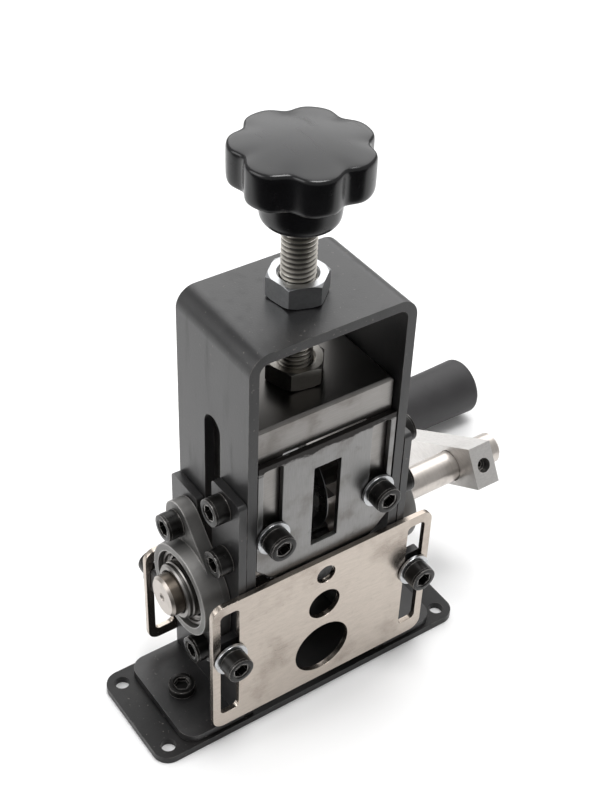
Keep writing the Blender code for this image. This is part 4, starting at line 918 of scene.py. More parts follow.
@dataclass
class Stand:
    """Base plate, bent frame and the two side brackets."""

    finishes: Finishes
    base_corner: float = 0.006
    base_hole_radius: float = 0.00275
    base_hole_inset: tuple = (0.0059, 0.0057)
    strap: float = 0.0036
    bend: float = 0.007
    slot_width: float = 0.0094
    slot_top: float = 0.1306
    shaft_hole: float = 0.0105
    screw_hole: float = 0.0033
    bracket: float = 0.003
    tab_reach: float = 0.0098
    tab_height: float = 0.0115
    tab_corner: float = 0.0015
    top_corner: float = 0.0015
    rear_top: float = 0.0923
    foot_corner: float = 0.006
    spindle_hole: float = 0.0066
    slot_round_share: float = 0.98
    base_edge: float = 0.0005
    edge: float = 0.0006

    def build(self) -> None:
        """Builds and dresses the stand."""
        self.base()
        self.strap_frame()
        self.brackets()

    def cross_holes(self, reach: float, side: int = 0) -> list[bpy.types.Object]:
        """Cutters for the screws through the walls.

        Args:
            reach: How far out they go.
            side: -1 or 1 for one side, or 0 for both.

        Returns:
            The cutters.
        """
        made = []
        for name in ("bearing_bolt", "frame_screw"):
            for level in LEVELS:
                spot = middle(f"left_{name}_{level}")
                start = -reach if side <= 0 else 0.0
                end = reach if side >= 0 else 0.0
                made.append(Shop.rod("hole", (start, spot.y, spot.z), (end, spot.y, spot.z), self.screw_hole))
        return made

    def base(self) -> None:
        """The base plate with its holes."""
        low, high = box("base_plate")
        piece = Shop.plate("base", low, high, Axis.Z, self.base_corner)
        for x in (low.x + self.base_hole_inset[0], high.x - self.base_hole_inset[0]):
            for y in (low.y + self.base_hole_inset[1], high.y - self.base_hole_inset[1]):
                Shop.cut(piece, Shop.rod("hole", (x, y, -OVERRUN), (x, y, high.z + OVERRUN),
                                         self.base_hole_radius))
        for name, _ in SIDES:
            x = middle(name + "_foot_screw").x
            Shop.cut(piece, Shop.rod("hole", (x, 0, -OVERRUN), (x, 0, high.z + OVERRUN), self.screw_hole))
        Shop.soften(piece, self.base_edge, 3)
        place(piece, "base_plate", Body.STAND, self.finishes.base_coat)

    def keyhole(self, reach: float, top: float) -> list[bpy.types.Object]:
        """Cutters for the slot of the axle and the hole of the shaft.

        Args:
            reach: How far out they go on both sides.
            top: The height of the slot's round end.

        Returns:
            The cutters.
        """
        shaft = middle("drive_shaft").z
        half = self.slot_width / 2
        slot = Shop.plate("slot", (-reach, -half, shaft), (reach, half, top), Axis.X, 0.0)
        Shop.round_edges(slot, lambda edge: all(vert.co.z > shaft + half for vert in edge.verts)
                         and abs(edge.verts[0].co.x - edge.verts[1].co.x) > half,
                         half * self.slot_round_share, 10)
        return [slot, Shop.rod("hole", (-reach, 0, shaft), (reach, 0, shaft), self.shaft_hole, 64)]

    def strap_frame(self) -> None:
        """The bent strap: an open box whose walls are given their thickness."""
        low, high = box("main_frame")
        piece = Shop.block("strap", low, high)
        Shop.pick(piece, "faces", lambda face: face.normal.z < -0.5 or abs(face.normal.y) > 0.5)
        bpy.ops.mesh.delete(type="FACE")
        Shop.round_edges(piece, lambda edge: all(vert.co.z > high.z - WELD for vert in edge.verts)
                         and abs(edge.verts[0].co.y - edge.verts[1].co.y) > self.strap, self.bend, 12)
        Shop.apply(piece, "SOLIDIFY", thickness=self.strap, offset=-1.0, use_even_offset=True)
        reach = high.x + OVERRUN
        Shop.cut(piece, *self.keyhole(reach, self.slot_top), *self.cross_holes(reach))
        Shop.cut(piece, Shop.rod("hole", (0, 0, high.z - self.strap - OVERRUN), (0, 0, high.z + OVERRUN),
                                 self.spindle_hole))
        Shop.soften(piece, self.edge, 3)
        place(piece, "main_frame", Body.STAND, self.finishes.powder_coat)

    def brackets(self) -> None:
        """Both side brackets, the left one a mirrored copy."""
        low, high = box("right_bracket")
        outer = low.x + self.bracket
        shaft = middle("drive_shaft").z
        half = self.slot_width / 2
        screw = middle("front_guide_screw_right")
        piece = Shop.plate("bracket", low, (outer, high.y, high.z), Axis.X, 0.0)
        foot = Shop.plate("foot", low, (high.x, high.y, low.z + self.bracket), Axis.Z, 0.0)
        Shop.round_edges(foot, lambda edge: all(vert.co.x > high.x - WELD for vert in edge.verts)
                         and abs(edge.verts[0].co.z - edge.verts[1].co.z) > WELD, self.foot_corner, 8)
        Shop.combine(piece, [foot], "UNION")
        for end in (-1, 1):
            y = sorted((end * high.y, end * (high.y - self.bracket)))
            tab = Shop.plate("tab", (low.x, y[0], screw.z - self.tab_height / 2),
                             (outer + self.tab_reach, y[1], screw.z + self.tab_height / 2), Axis.Y, 0.0)
            Shop.round_edges(tab, lambda edge: all(vert.co.x > outer + WELD for vert in edge.verts)
                             and abs(edge.verts[0].co.y - edge.verts[1].co.y) > WELD, self.tab_corner, 4)
            Shop.combine(piece, [tab], "UNION")
        reach = outer + OVERRUN
        Shop.cut(piece, Shop.block("slot", (0, -half, shaft), (reach, half, high.z + OVERRUN)),
                 Shop.block("rear", (0, half, self.rear_top), (reach, high.y + OVERRUN, high.z + OVERRUN)),
                 Shop.rod("hole", (0, 0, shaft), (reach, 0, shaft), self.shaft_hole, 64),
                 *self.cross_holes(reach, 1))
        foot_x = middle("right_foot_screw").x
        Shop.cut(piece, Shop.rod("hole", (foot_x, 0, 0), (foot_x, 0, shaft / 2), self.screw_hole))
        for end in (-1, 1):
            outside = (screw.x, end * (high.y + OVERRUN), screw.z)
            Shop.cut(piece, Shop.rod("hole", (screw.x, 0, screw.z), outside, self.screw_hole))
        Shop.round_edges(piece, lambda edge: abs(edge.verts[0].co.x - edge.verts[1].co.x) > self.bracket / 2
                         and abs(edge.calc_face_angle(0.0) - pi / 2) < 0.2
                         and edge.verts[0].co.z > self.rear_top - WELD, self.top_corner, 4)
        Shop.soften(piece, self.edge, 3)
        left = Shop.mirrored(piece, "left")
        place(piece, "right_bracket", Body.STAND, self.finishes.powder_coat)
        place(left, "left_bracket", Body.STAND, self.finishes.powder_coat)


@dataclass
class Bearings:
    """Flanged bearing units: housings, outer races with seals, and inner rings."""

    finishes: Finishes
    flange: float = 0.0052
    ring_radius: float = 0.0178
    ear_radius: float = 0.0078
    seat_radius: float = 0.0143
    bore: float = 0.0033
    wall_draft: float = 0.0008
    disc_inset: float = 0.0004
    ring_insets: tuple = (0.0002, 0.0003)
    ring_rise: float = 0.0008
    edge: float = 0.0007
    seat_gap: float = 0.0003
    race_wall: float = 0.0013
    seal_land: float = 0.0112
    seal_depth: float = 0.0012
    seal_crest: tuple = (0.0013, 0.0006)
    ease: float = 0.0004
    journal: float = 0.0078
    collar_depth: float = 0.0022
    collar_lip: float = 0.0006
    collar_chamfer: float = 0.001

    def build(self) -> None:
        """Builds and dresses both units."""
        for name, side in SIDES:
            self.housing(name, side)
            self.insert(name, side)
            self.inner(name, side)

    def housing(self, name: str, side: int) -> None:
        """A housing: flange, ears, ring and bolt bosses.

        Args:
            name: "left" or "right".
            side: -1 or 1.
        """
        low, high = box(name + "_bearing_housing")
        shaft = middle("drive_shaft").z
        seat, face = (low.x, high.x) if side > 0 else (-high.x, -low.x)
        ears = [middle(f"{name}_bearing_bolt_{level}") for level in LEVELS]
        top = seat + self.flange
        discs = [((side * seat, 0, shaft), (side * top, 0, shaft), self.ring_radius - self.disc_inset)]
        discs += [((side * seat, ear.y, ear.z), (side * top, ear.y, ear.z), self.ear_radius) for ear in ears]
        piece = Shop.hull("housing", discs)
        rim = self.ring_radius - self.wall_draft
        root, foot = (self.ring_radius - inset for inset in self.ring_insets)
        start = seat + self.flange / 2
        ring = Shop.turned("ring", [(start, 0.0), (start, root), (top + self.ring_rise, foot), (face, rim),
                                    (face, 0.0)], (0, 0, shaft), (side, 0, 0), 96)
        Shop.combine(piece, [ring], "UNION")
        back, front = side * (seat - OVERRUN), side * (face + OVERRUN)
        Shop.cut(piece, Shop.rod("bore", (back, 0, shaft), (front, 0, shaft), self.seat_radius, 96),
                 *[Shop.rod("hole", (back, ear.y, ear.z), (front, ear.y, ear.z), self.bore) for ear in ears])
        Shop.soften(piece, self.edge, 3)
        place(piece, name + "_bearing_housing", Body.STAND, self.finishes.die_cast)

    def insert(self, name: str, side: int) -> None:
        """An outer race with its sunk seal.

        Args:
            name: "left" or "right".
            side: -1 or 1.
        """
        low, high = box(name + "_bearing_insert")
        back, front = (low.x, high.x) if side > 0 else (-high.x, -low.x)
        outer = self.seat_radius - self.seat_gap
        race = outer - self.race_wall
        land, ease = self.seal_land, self.ease
        sunk = self.seal_depth + ease
        crest, rise = self.seal_crest
        profile = [(back, land), (back, outer), (front - ease, outer), (front, outer - ease),
                   (front, race), (front - self.seal_depth, race), (front - sunk, race - ease),
                   (front - crest, land + rise), (front - sunk, land)]
        piece = Shop.turned("insert", profile, (0, 0, middle("drive_shaft").z), (side, 0, 0), 96, closed=True)
        Shop.shade(piece)
        place(piece, name + "_bearing_insert", Body.STAND, self.finishes.race_steel)

    def inner(self, name: str, side: int) -> None:
        """An inner ring with its lock collar edge.

        Args:
            name: "left" or "right".
            side: -1 or 1.
        """
        low, high = box(name + "_inner_ring")
        back, front = (low.x, high.x) if side > 0 else (-high.x, -low.x)
        radius = (high.y - low.y) / 2
        ease = self.ease
        neck = radius - ease
        profile = [(back, self.journal), (back, radius), (front - self.collar_depth, radius),
                   (front - (self.collar_depth - ease), neck), (front - self.collar_lip, neck),
                   (front, radius - self.collar_chamfer), (front, self.journal + ease),
                   (front - ease, self.journal)]
        piece = Shop.turned("inner", profile, (0, 0, middle("drive_shaft").z), (side, 0, 0), 96, closed=True)
        Shop.shade(piece)
        place(piece, name + "_inner_ring", Body.DRIVE, self.finishes.race_steel)


@dataclass
class Fasteners:
    """Socket screws, washers and nuts."""

    finishes: Finishes
    shank: float = 0.003
    shank_chamfer: float = 0.0006
    head: float = 0.00497
    head_height: float = 0.0056
    low_head_height: float = 0.0032
    foot_share: float = 0.12
    crown_share: float = 0.2
    crown_step: float = 0.0001
    knurls: int = 40
    knurl_depth_share: float = 0.985
    socket: float = 0.0029
    socket_depth: float = 0.0033
    socket_depth_share: float = 0.6
    socket_lip: float = 0.0005
    socket_chamfer: float = 0.0003
    socket_floor: float = 0.0004
    edge: float = 0.0004
    washer_edge: float = 0.00025
    washer_gap: float = 0.0003

    def build(self) -> None:
        """Builds and dresses every fastener."""
        for name, side in SIDES:
            outward = (side, 0.0, 0.0)
            for level in LEVELS:
                self.screw(f"{name}_bearing_bolt_{level}", outward, Body.STAND)
                self.screw(f"{name}_frame_screw_{level}", outward, Body.STAND)
            self.screw(name + "_foot_screw", (0.0, 0.0, 1.0), Body.STAND, self.low_head_height)
            self.screw(name + "_guard_screw", (0.0, -1.0, 0.0), Body.CARRIAGE)
            self.washer(name + "_guard_washer", (0.0, -1.0, 0.0), Body.CARRIAGE)
            for end, way in (("front", -1.0), ("rear", 1.0)):
                self.screw(f"{end}_guide_screw_{name}", (0.0, way, 0.0), Body.STAND)
                self.washer(f"{end}_guide_washer_{name}", (0.0, way, 0.0), Body.STAND)

    def screw(self, node: str, outward: Point, body: Body, head_height: Optional[float] = None) -> None:
        """A socket head screw with a knurled head.

        Args:
            node: The node that it stands for.
            outward: The way that its head points.
            body: The body that it moves with.
            head_height: The height of its head, where it isn't the usual one.
        """
        head_height = head_height or self.head_height
        low, high = box(node)
        way = Vector(outward)
        spot = (low + high) / 2
        length = abs((high - low).dot(way))
        top = spot + way * length / 2
        tip = -length
        under = -head_height
        bevel = self.edge
        chamfer, step = self.shank_chamfer, self.crown_step
        crown = -head_height * self.crown_share
        profile = [(tip, 0.0), (tip, self.shank - chamfer), (tip + chamfer, self.shank), (under, self.shank),
                   (under, self.head), (under + head_height * self.foot_share, self.head), (crown, self.head),
                   (crown + step, self.head - step), (-bevel, self.head - step),
                   (-bevel * 0.3, self.head - bevel * 0.35), (0.0, self.head - bevel),
                   (0.0, self.socket + self.socket_lip), (-self.socket_chamfer, self.socket),
                   (-self.socket_floor, 0.0)]
        piece = Shop.turned("screw", profile, top, way, 2 * self.knurls)
        side = way.orthogonal().normalized()
        other = way.cross(side)

        def in_groove(vert: bmesh.types.BMVert) -> bool:
            """Whether a vertex lies at the bottom of a knurl."""
            offset = vert.co - top
            depth = offset.dot(way)
            if not -head_height * 0.9 < depth < -head_height * 0.19:
                return False
            angle = math.atan2(offset.dot(other), offset.dot(side)) / (2 * pi) * 2 * self.knurls
            return round(angle) % 2 == 1 and (offset - way * depth).length > self.head * 0.9

        Shop.pick(piece, "verts", in_groove)
        share = self.knurl_depth_share
        squeeze = [share + (1 - share) * abs(component) for component in way]
        bpy.ops.transform.resize(value=squeeze, center_override=top)
        Shop.leave()
        depth = min(self.socket_depth, head_height * self.socket_depth_share)
        socket = Shop.rod("socket", top - way * depth, top + way * OVERRUN, self.socket, 6)
        Shop.cut(piece, socket)
        Shop.shade(piece, 28.0)
        place(piece, node, body, self.finishes.black_oxide)

    def washer(self, node: str, outward: Point, body: Body) -> None:
        """A flat washer with stamped edges.

        Args:
            node: The node that it stands for.
            outward: The way that its upper face points.
            body: The body that it moves with.
        """
        low, high = box(node)
        way = Vector(outward)
        thick = abs((high - low).dot(way))
        radius = (high.x - low.x) / 2
        start = (low + high) / 2 - way * thick / 2
        soft, bore = self.washer_edge, self.shank + self.washer_gap
        profile = [(0.0, bore), (0.0, radius - soft / 2), (soft / 2, radius), (thick - soft, radius),
                   (thick - soft * 0.3, radius - soft * 0.3), (thick, radius - soft * 1.2),
                   (thick, self.shank + 2 * self.washer_gap), (thick - soft, bore)]
        piece = Shop.turned("washer", profile, start, way, 64, closed=True)
        Shop.shade(piece)
        place(piece, node, body, self.finishes.bright_zinc)


@dataclass
class HexNut:
    """A hexagon nut with chamfered faces."""

    node: str
    body: Body
    finish: bpy.types.Material
    slot: str
    across_flats: float
    turn: float
    bore: float
    axis: Axis
    chamfer: float = 0.0011
    chamfer_rise_share: float = 0.6
    slack: float = 0.0001
    sink: tuple = (0.0009, 0.001)
    edge: float = 0.00025

    def build(self) -> None:
        """Builds and dresses the nut."""
        low, high = box(self.node)
        index = self.axis.index
        start, end = middle(self.node), middle(self.node)
        start[index], end[index] = low[index], high[index]
        along = self.axis.vector
        corner = self.across_flats / sqrt(3)
        piece = Shop.rod("nut", start, end, corner, 6)
        spin = Matrix.Translation(start) @ Matrix.Rotation(self.turn, 4, along) @ Matrix.Translation(-start)
        piece.data.transform(spin)
        height = high[index] - low[index]
        rise = self.chamfer * self.chamfer_rise_share
        widest = corner + self.slack
        lens = Shop.turned("lens", [(0.0, 0.0), (0.0, corner - self.chamfer), (rise, widest),
                                    (height - rise, widest), (height, corner - self.chamfer),
                                    (height, 0.0)], start, along, 96)
        Shop.combine(piece, [lens], "INTERSECT")
        depth, flare = self.sink
        far = height + OVERRUN
        Shop.cut(piece, Shop.turned("bore", [(-OVERRUN, 0.0), (-OVERRUN, self.bore), (far, self.bore),
                                             (far, 0.0)], start, along, 64),
                 Shop.turned("sink", [(height - depth, 0.0), (height - depth, self.bore),
                                      (height + self.slack, self.bore + flare), (height + self.slack, 0.0)],
                             start, along, 64))
        Shop.soften(piece, self.edge, 2, 25.0)
        place(piece, self.node, self.body, self.finish)


@dataclass
class Guides:
    """The front and rear guide plates."""

    finishes: Finishes
    corner: float = 0.0045
    strip: float = 0.0031
    slot_width: float = 0.0075
    front_slot: tuple = (0.0066, 0.0042)
    rear_slot: tuple = (0.0046, 0.0046)
    hole_diameters: tuple = (0.0228, 0.013, 0.0077)
    hole_height_shares: tuple = (0.267, 0.635, 0.877)
    edge: float = 0.0003

    def build(self) -> None:
        """Builds and dresses both plates."""
        holes = tuple(zip(self.hole_diameters, self.hole_height_shares))
        self.plate("front_guide_plate", Body.FRONT_GUIDE, self.front_slot, holes)
        self.plate("rear_guide_plate", Body.REAR_GUIDE, self.rear_slot, ())

    def plate(self, node: str, body: Body, slot: tuple, holes: tuple) -> None:
        """A sheet plate with a slot at each end.

        Args:
            node: The node that it stands for.
            body: The body that it moves with.
            slot: The slots' distances from the lower and the upper edge.
            holes: Cable holes as (diameter, height share).
        """
        low, high = box(node)
        piece = Shop.plate("plate", low, high, Axis.Y, self.corner)
        start, end = low.y - OVERRUN, high.y + OVERRUN
        for side in (-1, 1):
            x = side * (high.x - self.strip - self.slot_width / 2)
            Shop.cut(piece, Shop.plate("slot", (x - self.slot_width / 2, start, low.z + slot[0]),
                                       (x + self.slot_width / 2, end, high.z - slot[1]), Axis.Y,
                                       self.slot_width / 4, 6))
        for diameter, share in holes:
            z = low.z + (high.z - low.z) * share
            Shop.cut(piece, Shop.rod("hole", (0, start, z), (0, end, z), diameter / 2, 96))
        Shop.soften(piece, self.edge, 2)
        place(piece, node, body, self.finishes.sheet_steel)


@dataclass
class Drive:
    """The shaft, the crank and its grip."""

    finishes: Finishes
    journal: float = 0.0075
    crank_end: float = 0.006
    shoulder: float = 0.0475
    arm_nose: float = 0.015
    arm_hub: float = 0.0081
    arm_tip: float = 0.0075
    arm_length: float = 0.0895
    droop: float = radians(30.5)
    set_screw: float = 0.0028
    pin: float = 0.004
    shaft_chamfer: float = 0.001
    centres: tuple = (0.0016, 0.0014)
    shoulder_chamfer: float = 0.0004
    shaft_gap: float = 0.0002
    pin_gap: float = 0.0003
    arm_edge: float = 0.0006
    grip_bore_depth: float = 0.045
    grip_waist: float = 0.0005
    grip_round: float = 0.0022
    grip_root: float = 0.0006
    waist_shares: tuple = (0.2, 0.35, 0.5, 0.65, 0.8)

    def build(self) -> None:
        """Builds and dresses the drive."""
        self.shaft()
        self.arm()
        self.grip()

    def shaft(self) -> None:
        """The stepped shaft with a centre drilled in each end."""
        low, high = box("drive_shaft")
        soft, ease = self.shaft_chamfer, self.shoulder_chamfer
        left, right = self.centres
        profile = [(low.x + left, 0.0), (low.x, left), (low.x, self.journal - soft),
                   (low.x + soft, self.journal), (self.shoulder - ease, self.journal),
                   (self.shoulder, self.journal - ease), (self.shoulder, self.crank_end),
                   (high.x - soft, self.crank_end), (high.x, self.crank_end - soft), (high.x, right),
                   (high.x - right, 0.0)]
        piece = Shop.turned("shaft", profile, (0, 0, middle("drive_shaft").z), (1, 0, 0), 96)
        Shop.shade(piece)
        place(piece, "drive_shaft", Body.DRIVE, self.finishes.shaft_steel)

    def arm(self) -> None:
        """The flat arm: a tapered bar with a square nose and a round tip."""
        low, high = box("crank_arm")
        shaft = Vector((0.0, 0.0, middle("drive_shaft").z))
        grip = middle("crank_grip")
        piece = Shop.block("arm", (low.x, -self.arm_nose, -self.arm_hub),
                           (high.x, self.arm_length, self.arm_hub))
        Shop.pick(piece, "faces", lambda face: face.normal.y > 0.5)
        bpy.ops.transform.resize(value=(1.0, 1.0, self.arm_tip / self.arm_hub))
        Shop.leave()
        tip = Shop.rod("tip", (low.x, self.arm_length, 0), (high.x, self.arm_length, 0), self.arm_tip, 64)
        Shop.combine(piece, [tip], "UNION")
        piece.data.transform(Matrix.Translation(shaft) @ Matrix.Rotation(-self.droop, 4, Axis.X.vector))
        start, end = low.x - OVERRUN, high.x + OVERRUN
        nose = Vector((0.0, -cos(self.droop), sin(self.droop)))
        centre = shaft + Vector(((low.x + high.x) / 2, 0, 0))
        Shop.cut(piece, Shop.rod("hole", (start, 0, shaft.z), (end, 0, shaft.z),
                                 self.crank_end + self.shaft_gap, 64),
                 Shop.rod("hole", (start, grip.y, grip.z), (end, grip.y, grip.z), self.pin + self.pin_gap),
                 Shop.rod("hole", centre + nose * self.crank_end, centre + nose * (self.arm_nose + OVERRUN),
                          self.set_screw))
        Shop.soften(piece, self.arm_edge, 3)
        place(piece, "crank_arm", Body.DRIVE, self.finishes.crank_alloy)

    def grip(self) -> None:
        """The turning grip with its rounded end and a bored root."""
        low, high = box("crank_grip")
        spot = middle("crank_grip")
        radius = (high.z - low.z) / 2
        waist = radius - self.grip_waist
        bore = self.pin + self.pin_gap
        turn, root, depth = self.grip_round, self.grip_root, self.grip_bore_depth
        length = high.x - low.x
        profile = [(depth, 0.0), (depth, bore), (root, bore), (0.0, bore + root), (0.0, radius - turn)]
        profile += [(turn - turn * cos(step * pi / 12), radius - turn + turn * sin(step * pi / 12))
                    for step in range(1, 7)]
        profile += [(length * share, radius - (radius - waist) * sin(share * pi))
                    for share in self.waist_shares]
        profile += [(length - turn + turn * sin(step * pi / 12), radius - turn + turn * cos(step * pi / 12))
                    for step in range(6)]
        profile += [(length, radius - turn), (length, 0.0)]
        piece = Shop.turned("grip", profile, (low.x, spot.y, spot.z), (1, 0, 0), 96)
        Shop.shade(piece)
        place(piece, "crank_grip", Body.GRIP, self.finishes.grip)


@dataclass
class Carriage:
    """The sliding block with the blade and its guard."""

    finishes: Finishes
    cheek: float = 0.01
    top_thickness: float = 0.013
    neck: float = 0.0053
    axle_hole: float = 0.0043
    bevel: float = 0.0009
    guard_chamfer: float = 0.011
    window: tuple = (0.0106, 0.035)
    window_inset: float = 0.0099
    slot: tuple = (0.0074, 0.0339)
    slot_top_inset: float = 0.0023
    slot_side_inset: float = 0.0058
    slot_corner: float = 0.001
    screw_hole: float = 0.0033
    screw_depth: float = 0.0063
    edge: float = 0.0003
    blade_bevel: float = 0.0035
    blade_gain: float = 0.00005
    blade_rim: float = 0.0001

    def build(self) -> None:
        """Builds and dresses the carriage."""
        self.block()
        self.guard()
        self.blade()

    def block(self) -> None:
        """The block: a thick top and two cheeks."""
        low, high = box("carriage_block")
        piece = Shop.block("block", low, high)
        Shop.round_edges(piece, lambda edge: all(vert.co.z > high.z - WELD for vert in edge.verts),
                         self.bevel, 1)
        axle = middle("blade_axle").z
        reach = high.x + OVERRUN
        Shop.cut(piece,
                 Shop.block("gap", (low.x + self.cheek, low.y - OVERRUN, low.z - OVERRUN),
                            (high.x - self.cheek, high.y + OVERRUN, high.z - self.top_thickness)),
                 Shop.rod("hole", (0, 0, axle), (0, 0, high.z + OVERRUN), self.neck),
                 Shop.rod("hole", (-reach, 0, axle), (reach, 0, axle), self.axle_hole))
        for name, _ in SIDES:
            spot = middle(name + "_guard_screw")
            Shop.cut(piece, Shop.rod("hole", (spot.x, low.y - OVERRUN, spot.z),
                                     (spot.x, low.y + self.screw_depth, spot.z), self.screw_hole))
        Shop.soften(piece, self.edge, 2)
        place(piece, "carriage_block", Body.CARRIAGE, self.finishes.block_steel)

    def guard(self) -> None:
        """The guard plate with its window and slots."""
        low, high = box("guard_plate")
        piece = Shop.block("guard", low, high)
        Shop.round_edges(piece, lambda edge: all(vert.co.z < low.z + WELD for vert in edge.verts)
                         and abs(edge.verts[0].co.y - edge.verts[1].co.y) > WELD, self.guard_chamfer, 1)
        start, end = low.y - OVERRUN, high.y + OVERRUN
        top = high.z - self.window_inset
        width, height = self.window
        Shop.cut(piece, Shop.block("window", (-width / 2, start, top - height), (width / 2, end, top)))
        width, height = self.slot
        for side in (-1, 1):
            x = side * (high.x - self.slot_side_inset)
            top = high.z - self.slot_top_inset
            Shop.cut(piece, Shop.plate("slot", (x - width / 2, start, top - height),
                                       (x + width / 2, end, top), Axis.Y, self.slot_corner, 3))
        Shop.soften(piece, self.edge, 2)
        place(piece, "guard_plate", Body.GUARD, self.finishes.guard_steel)

    def blade(self) -> None:
        """The round blade, ground from both faces."""
        low, high = box("round_blade")
        radius = (high.z - low.z) / 2 + self.blade_gain
        half = (high.x - low.x) / 2
        spot = middle("round_blade")
        rim = self.blade_rim
        profile = [(-half, self.axle_hole), (-half, radius - self.blade_bevel), (-rim, radius), (rim, radius),
                   (half, radius - self.blade_bevel), (half, self.axle_hole)]
        piece = Shop.turned("blade", profile, spot, (1, 0, 0), 128, closed=True)
        Shop.shade(piece, 8.0)
        place(piece, "round_blade", Body.BLADE, self.finishes.blade_steel)


@dataclass
class Spindle:
    """The threaded rod, its nuts and the star knob."""

    finishes: Finishes
    pitch: float = 0.00175
    major: float = 0.00565
    minor: float = 0.00475
    neck: float = 0.005
    thread_shares: tuple = (0.0, 0.25, 0.5625, 0.6875, 1.0)
    lobes: int = 7
    lobe_turn: float = radians(45.1)
    hub: float = 0.0128
    hub_height: float = 0.014
    knob_radius: float = 0.0223
    rim_height: float = 0.0108
    rim_drop: float = 0.0009
    lobe_steps: int = 8
    valley_shares: tuple = (0.0, 0.002, 0.025, 0.095, 0.14)
    foot_rows: tuple = ((0.0, 0.7), (0.0002, 0.86), (0.0014, 0.96), (0.0035, 1.0))
    hub_flare: tuple = (0.001, 0.0008)
    under_shares: tuple = (0.82, 0.6)
    lower_rows: tuple = ((0.0001, 0.0011), (0.0009, 0.0002), (0.003, 0.0))
    upper_rows: tuple = ((-0.0024, 0.0), (-0.0009, 0.0001), (-0.0003, 0.0006), (0.0, 0.0016))
    dome_rows: tuple = ((0.0003, 0.8, 0.6), (0.0009, 0.6, 0.1), (0.0014, 0.38, 0.0), (0.0017, 0.16, 0.0))
    knob_reach: float = 0.0222
    bore_gap: float = 0.0003
    rod_bore: float = 0.0059
    neck_bore: float = 0.0053
    pin_bore: float = 0.0043
    nut_flats: tuple = (0.018, 0.017, 0.013)
    nut_turns: tuple = (radians(10.2), radians(20.0))
    small_chamfer: float = 0.0007
    rod_chamfer: float = 0.001
    neck_chamfer: float = 0.0008
    neck_overlap: float = 0.0005
    slack: float = 0.0001

    def build(self) -> None:
        """Builds and dresses the spindle and its nuts."""
        self.rod()
        self.knob()
        zinc = self.finishes.bright_zinc
        dull = self.finishes.dull_nut
        large, middling, small = self.nut_flats
        top_turn, collar_turn = self.nut_turns
        HexNut("top_nut", Body.STAND, zinc, "bright_zinc", large, top_turn, self.rod_bore, Axis.Z).build()
        HexNut("collar_nut", Body.SPINDLE, dull, "black_oxide", large, collar_turn, self.rod_bore,
               Axis.Z).build()
        HexNut("retaining_nut", Body.SPINDLE, zinc, "bright_zinc", middling, 0.0, self.neck_bore,
               Axis.Z).build()
        HexNut("grip_nut", Body.DRIVE, zinc, "bright_zinc", small, 0.0, self.pin_bore, Axis.X,
               self.small_chamfer).build()

    def rod(self) -> None:
        """The rod: a helical thread above a plain neck."""
        low, high = box("threaded_spindle")
        shoulder = box("collar_nut")[0].z
        turns = math.ceil((high.z - shoulder) / self.pitch) + 2
        base = shoulder - self.pitch
        radii = (self.minor, self.minor, self.major, self.major, self.minor)
        points = [Vector((radius, 0.0, base + self.pitch * share))
                  for share, radius in zip(self.thread_shares, radii)]
        piece = Shop.line("rod", points)
        Shop.leave()
        Shop.apply(piece, "SCREW", axis="Z", angle=2 * pi, screw_offset=self.pitch, iterations=turns,
                   steps=36, render_steps=36, use_merge_vertices=True, merge_threshold=WELD)
        Shop.take(piece)
        bpy.ops.object.mode_set(mode="EDIT")
        bpy.ops.mesh.select_all(action="SELECT")
        bpy.ops.mesh.remove_doubles(threshold=WELD)
        bpy.ops.mesh.fill_holes(sides=0)
        Shop.face_outwards()
        widest, soft = self.major + self.slack, self.rod_chamfer
        blank = Shop.turned("blank", [(shoulder, 0.0), (shoulder, self.minor), (shoulder + soft, widest),
                                      (high.z - soft, widest), (high.z, self.minor), (high.z, 0.0)],
                            (0, 0, 0), (0, 0, 1), 64)
        Shop.combine(piece, [blank], "INTERSECT")
        ease, join = self.neck_chamfer, shoulder + self.neck_overlap
        neck = Shop.turned("neck", [(low.z, 0.0), (low.z, self.neck - ease), (low.z + ease, self.neck),
                                    (join, self.neck), (join, 0.0)], (0, 0, 0), (0, 0, 1), 48)
        Shop.combine(piece, [neck], "UNION")
        Shop.shade(piece, 25.0)
        place(piece, "threaded_spindle", Body.SPINDLE, self.finishes.rod_plate)

    def knob(self) -> None:
        """The star knob: rings raised from a disc, drawn in between the lobes and subdivided."""
        low, high = box("star_knob")
        rows = self.knob_rows(low.z)
        bpy.ops.object.select_all(action="DESELECT")
        bpy.ops.mesh.primitive_circle_add(vertices=self.lobe_steps * self.lobes, radius=rows[0][1],
                                          fill_type="NGON", location=(0, 0, low.z),
                                          rotation=(0, 0, self.lobe_turn - pi / 2))
        piece = Shop.settle("knob")
        Shop.pick(piece, "faces", lambda face: True)
        for previous, row in zip(rows, rows[1:]):
            bpy.ops.mesh.select_mode(type="FACE")
            bpy.ops.mesh.extrude_region_move(TRANSFORM_OT_translate={"value": (0, 0, row[0] - previous[0])})
            grow = row[1] / previous[1]
            bpy.ops.transform.resize(value=(grow, grow, 1.0), center_override=(0, 0, row[0]))
            if row[2] != previous[2]:
                self.draw_in(piece, row[0], previous[2], row[2])
        Shop.face_outwards()
        Shop.apply(piece, "SUBSURF", levels=2, render_levels=2)
        self.fit(piece, low, high)
        end = box("threaded_spindle")[1].z + self.bore_gap
        Shop.cut(piece, Shop.rod("bore", (0, 0, low.z - OVERRUN), (0, 0, end), self.rod_bore, 48))
        Shop.shade(piece, 50.0)
        place(piece, "star_knob", Body.SPINDLE, self.finishes.knob)

